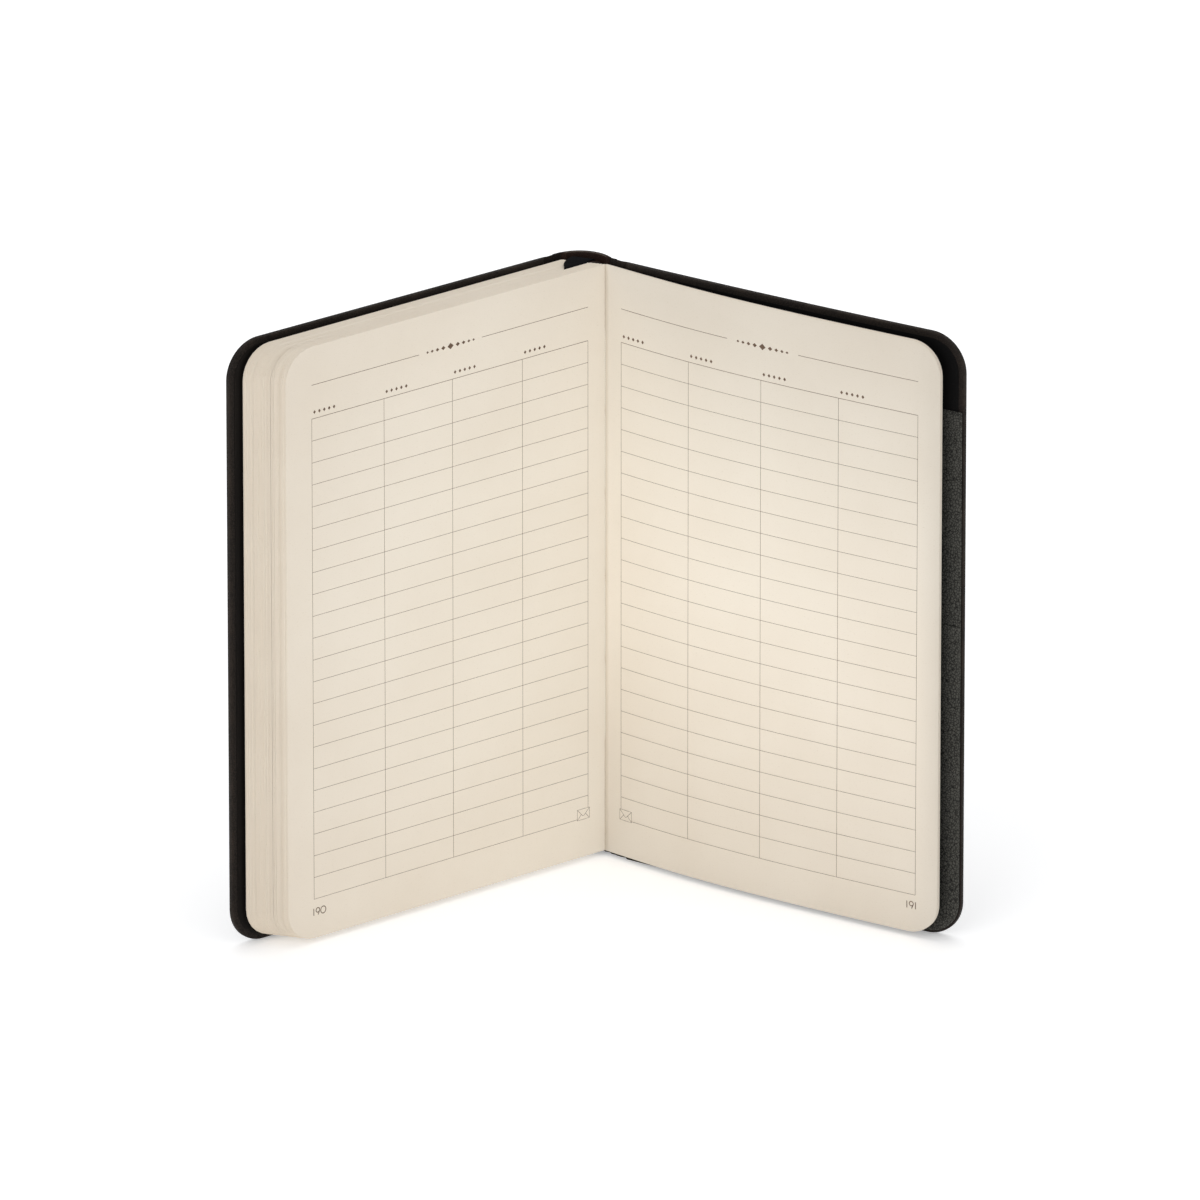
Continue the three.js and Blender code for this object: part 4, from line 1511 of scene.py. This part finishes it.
@dataclass
class SpineDressing:
    """What is sewn and glued to the back of the pages: headbands, thread and ribbon marker."""

    layout: Layout
    stack: PageStack
    band_out: float = 0.9
    band_core: float = 0.6
    band_radius: float = 0.8
    band_from: float = 1.6
    band_to: float = 8.2
    band_drop: float = 0.6
    winding: float = 0.15
    thread: float = 0.17
    stitches: int = 5
    stitch: float = 24.9
    stitch_gap: float = 0.5
    stitch_dip: float = 0.16
    thread_bottom: float = 35.0
    ribbon_width: float = 6.5
    ribbon_thick: float = 0.15
    ribbon_root: float = 12.0
    ribbon_offset: float = 1.0
    ribbon_turn: float = 3.0
    ribbon_end: tuple[float, float] = (62.0, 38.0)
    climb_out: float = 2.15
    climb_top: float = 1.5

    # The marker's two edges over the head of the block: along the page, depth and rise over the head.
    NEAR_EDGE = ((0.35, 4.25, 0.3), (1.0, 4.15, 0.48), (1.8, 4.08, 0.48), (2.7, 4.0, 0.3), (3.4, 3.95, 0.0))
    FAR_EDGE = ((3.9, 9.4, 0.45), (5.2, 8.7, 0.85), (7.6, 7.7, 0.9), (9.8, 6.3, 0.65), (11.6, 3.95, 0.0))

    def __post_init__(self) -> None:
        """The directions across the spine and out of it, in the frame of the left page."""
        self.edge = np.array((self.layout.shear, -1.0))
        self.edge /= np.linalg.norm(self.edge)
        self.outward = np.array((self.edge[1], -self.edge[0]))

    def _spine_point(self, depth: float, out: float) -> np.ndarray:
        """A point behind the pages: X along page 190, -Y into the block."""
        return np.array((self.layout.shear * depth, -depth)) + self.outward * out

    def _world(self, points: np.ndarray) -> np.ndarray:
        """Points of the left page's frame as points of space, in metres."""
        return self.layout.left_page.places(points[..., 0], points[..., 1], points[..., 2])

    def _headband(self, name: str, height: float) -> None:
        """A cord wound with thread.

        Args:
            name: Its CAD node.
            height: The height of its middle line.
        """
        start, end = (np.array([*self._spine_point(d, self.band_out), height]) for d in (self.band_from, self.band_to))
        core = tube(self._world(start + (end - start) * np.linspace(0, 1, 9)[:, None]), self.band_core, 14)
        seat(core.piece(f"{name}_cord", DARK_COTTON, outward=True), Body.BLOCK, DARK_COTTON, name)
        length = float(np.linalg.norm(end - start))
        way = (end - start) / length
        side, up = np.array((-way[1], way[0], 0.0)), np.array((0.0, 0.0, 1.0))
        turn = np.linspace(0, 2 * math.pi, 17)[:, None]
        first = start + way * self.winding
        ring = first + (self.band_radius - self.winding) * (np.cos(turn) * side + np.sin(turn) * up)
        piece = tube(self._world(ring), self.winding, 6).piece(f"{name}_winding", DARK_COTTON, outward=True)
        pitch = 2 * self.winding
        ends = self._world(np.array([first, first + way * pitch]))
        ROW.spread(piece, DARK_COTTON, int((length - pitch) / pitch), Vector(ends[1] - ends[0]))
        seat(piece, Body.BLOCK, DARK_COTTON, name)

    def _sewing(self) -> None:
        """The stitches in the fold of the last section."""
        share = np.linspace(0, 1, 15)
        dip = self.stitch_dip * np.exp(-share / 0.03) + self.stitch_dip * np.exp(-(1 - share) / 0.03)
        rise = self.thread_bottom + self.stitch_gap / 2 + share * (self.stitch - self.stitch_gap)
        points = np.stack((-0.06 + 0 * share, 0.02 - dip, rise), -1)
        piece = tube(self._world(points), self.thread, 8).piece("gutter_stitches", COTTON, outward=True)
        ROW.spread(piece, COTTON, self.stitches, Vector((0, 0, self.stitch * MM)))
        seat(piece, Body.BLOCK, COTTON, "sewing_thread")

    def _ribbon(self) -> None:
        """The marker: up behind the headband, over the head and down between two sections."""
        top, half, depth = self.layout.page_top, self.ribbon_width / 2, self.stack.ribbon_depth
        climb = self._spine_point((self.band_from + self.band_to) / 2 + self.ribbon_offset, self.climb_out)
        entry = np.array((self.layout.shear * depth + half + self.ribbon_offset, -depth, top))
        end = np.array((self.ribbon_end[0], -depth, self.ribbon_end[1]))
        fall = (end - entry) / np.linalg.norm(end - entry)
        slant = np.array((-fall[2], 0.0, fall[0])) * half
        edges: list[np.ndarray] = []
        for side, over in ((-1, self.NEAR_EDGE), (1, self.FAR_EDGE)):
            foot = climb + side * half * self.edge
            points = [(*foot, top - self.ribbon_root), (*foot, top - self.climb_top)]
            points += [(s, -d, top + rise) for s, d, rise in over]
            points += [tuple(entry + fall * self.ribbon_turn * turns + side * slant) for turns in (3, 5)]
            points.append(tuple(end + side * slant))
            edges.append(smooth_curve(np.array(points), 10))
        near, far = edges
        middle, wide = (near + far) / 2, (far - near) / self.ribbon_width
        normal = across(np.cross(wide, np.gradient(middle, axis=0)))
        thick = self.ribbon_thick / 2 * MM
        steps = np.linspace(-1, 1, 9) * half * MM
        section = np.array([(x, -thick) for x in steps] + [(x, thick) for x in steps[::-1]])
        base = self._world(np.zeros((1, 3)))
        side, normal = (self._world(way / MM) - base for way in (wide, normal))
        piece = swept(self._world(middle), side, normal, section).piece("ribbon_marker_satin", SATIN, outward=True)
        seat(piece, Body.BLOCK, SATIN, "ribbon_marker")

    def build(self) -> None:
        """Makes the headbands, the stitches and the marker."""
        self._headband("headband_top", self.layout.page_top - self.band_drop)
        self._headband("headband_bottom", self.layout.page_bottom + self.band_drop)
        self._sewing()
        self._ribbon()
        dress_nodes(COTTON, "spine_lining")


@dataclass
class Studio:
    """The camera, the pale floor and the soft light."""

    layout: Layout
    distance: float = 6000.0
    elevation: float = 20.9
    lens: float = 636.8
    aside: float = -1.39
    height: float = 77.5
    floor_reach: float = 6.0
    floor_colour: Colour = (0.95, 0.955, 0.965, 1.0)
    floor_glow: float = 0.3
    world_light: float = 0.63
    white: Colour = (1.0, 1.0, 1.0, 1.0)

    def camera(self) -> None:
        """Makes the camera at the photograph's place."""
        data = bpy.data.cameras.new("camera")
        data.lens, data.sensor_width = self.lens, 36.0
        data.clip_start, data.clip_end = 0.1, 60.0
        camera = linked("camera", data)
        lean = math.radians(self.elevation)
        camera.location = Vector((
            self.layout.gutter[0] + self.aside,
            self.layout.gutter[1] - self.distance * math.cos(lean),
            self.height + self.distance * math.sin(lean),
        )) * MM
        camera.rotation_euler = (math.pi / 2 - lean, 0.0, 0.0)
        bpy.context.scene.camera = camera

    def _light(self, name: str, kind: str, place: Sequence[float], target: Sequence[float], **settings: object) -> None:
        """A light that faces a point.

        Args:
            name: Its name.
            kind: Its type.
            place: Where it stands.
            target: The point that it faces.
            **settings: Its own settings.
        """
        data = bpy.data.lights.new(name, kind)
        for key, value in settings.items():
            setattr(data, key, value)
        lamp = linked(name, data)
        lamp.location = place
        lamp.rotation_euler = (Vector(target) - Vector(place)).to_track_quat("-Z", "Y").to_euler()

    def build(self) -> None:
        """Makes the floor and the light."""
        scene = bpy.context.scene
        scene.view_settings.view_transform = "Standard"
        world = bpy.data.worlds.new("studio")
        world.use_nodes = True
        backdrop = world.node_tree.nodes["Background"]
        backdrop.inputs[0].default_value = self.white
        backdrop.inputs[1].default_value = self.world_light
        scene.world = world
        middle = (0.0, 0.0, 0.09)
        for name, place, size, power, tint in (
            ("front softbox", (-1.5, -2.6, 1.5), 2.2, 18.0, (0.985, 0.99, 0.99)),
            ("top softbox", (0.0, 0.4, 1.6), 1.6, 7.0, (1.0, 1.0, 1.0)),
        ):
            self._light(name, "AREA", place, middle, shape="SQUARE", size=size, energy=power, color=tint)
        # A weak round beam that fades out from the gutter to the outer edges of the pages.
        self._light(
            "gutter light", "SPOT", (0.15, -1.7, 0.75), (0.0, 0.0, 0.1), spot_size=math.radians(7.5), spot_blend=1.0,
            shadow_soft_size=0.04, energy=25.0, color=(0.80, 0.93, 1.0),
        )
        floor = bpy.data.materials.new("pale floor")
        floor.use_nodes = True
        shader = floor.node_tree.nodes["Principled BSDF"]
        for key, value in {
            "Base Color": self.floor_colour, "Roughness": 0.9, "Specular IOR Level": 0.1,
            "Emission Color": self.white, "Emission Strength": self.floor_glow,
        }.items():
            shader.inputs[key].default_value = value
        mesh = bpy.data.meshes.new("floor")
        reach = self.floor_reach
        corners = [(-reach, -reach, 0), (reach, -reach, 0), (reach, reach, 0), (-reach, reach, 0)]
        mesh.from_pydata(corners, [], [(0, 1, 2, 3)])
        mesh.materials.append(floor)
        linked("floor", mesh)


def main() -> None:
    """Builds the studio and every sub-assembly of the book."""
    logging.basicConfig(level=logging.INFO, format="%(name)s: %(message)s")
    layout = Layout()
    studio = Studio(layout)
    studio.camera()
    stack = PageStack(layout)
    stack.build()
    LastLeaves(layout).build()
    Printing(
        layout, layout.left_page, Body.BLOCK, reading=-1, toward=1, number="190",
        uprights=(6.2, 30.03, 55.34, 79.94, 105.8),
        number_start=105.95, number_base=8.1, title_gap=(44.6, 67.3), lift=0.2,
    ).build()
    Printing(
        layout, layout.right_page, Body.LAST_LEAVES, reading=1, toward=-1, number="191",
        uprights=(6.14, 30.78, 55.88, 81.8, 107.78),
        number_start=105.07, number_base=8.8, title_gap=(44.3, 68.4), lift=-0.25,
    ).build()
    Case(layout).build()
    Pocket(layout).build()
    SpineDressing(layout, stack).build()
    studio.build()


if __name__ == "__main__":
    main()
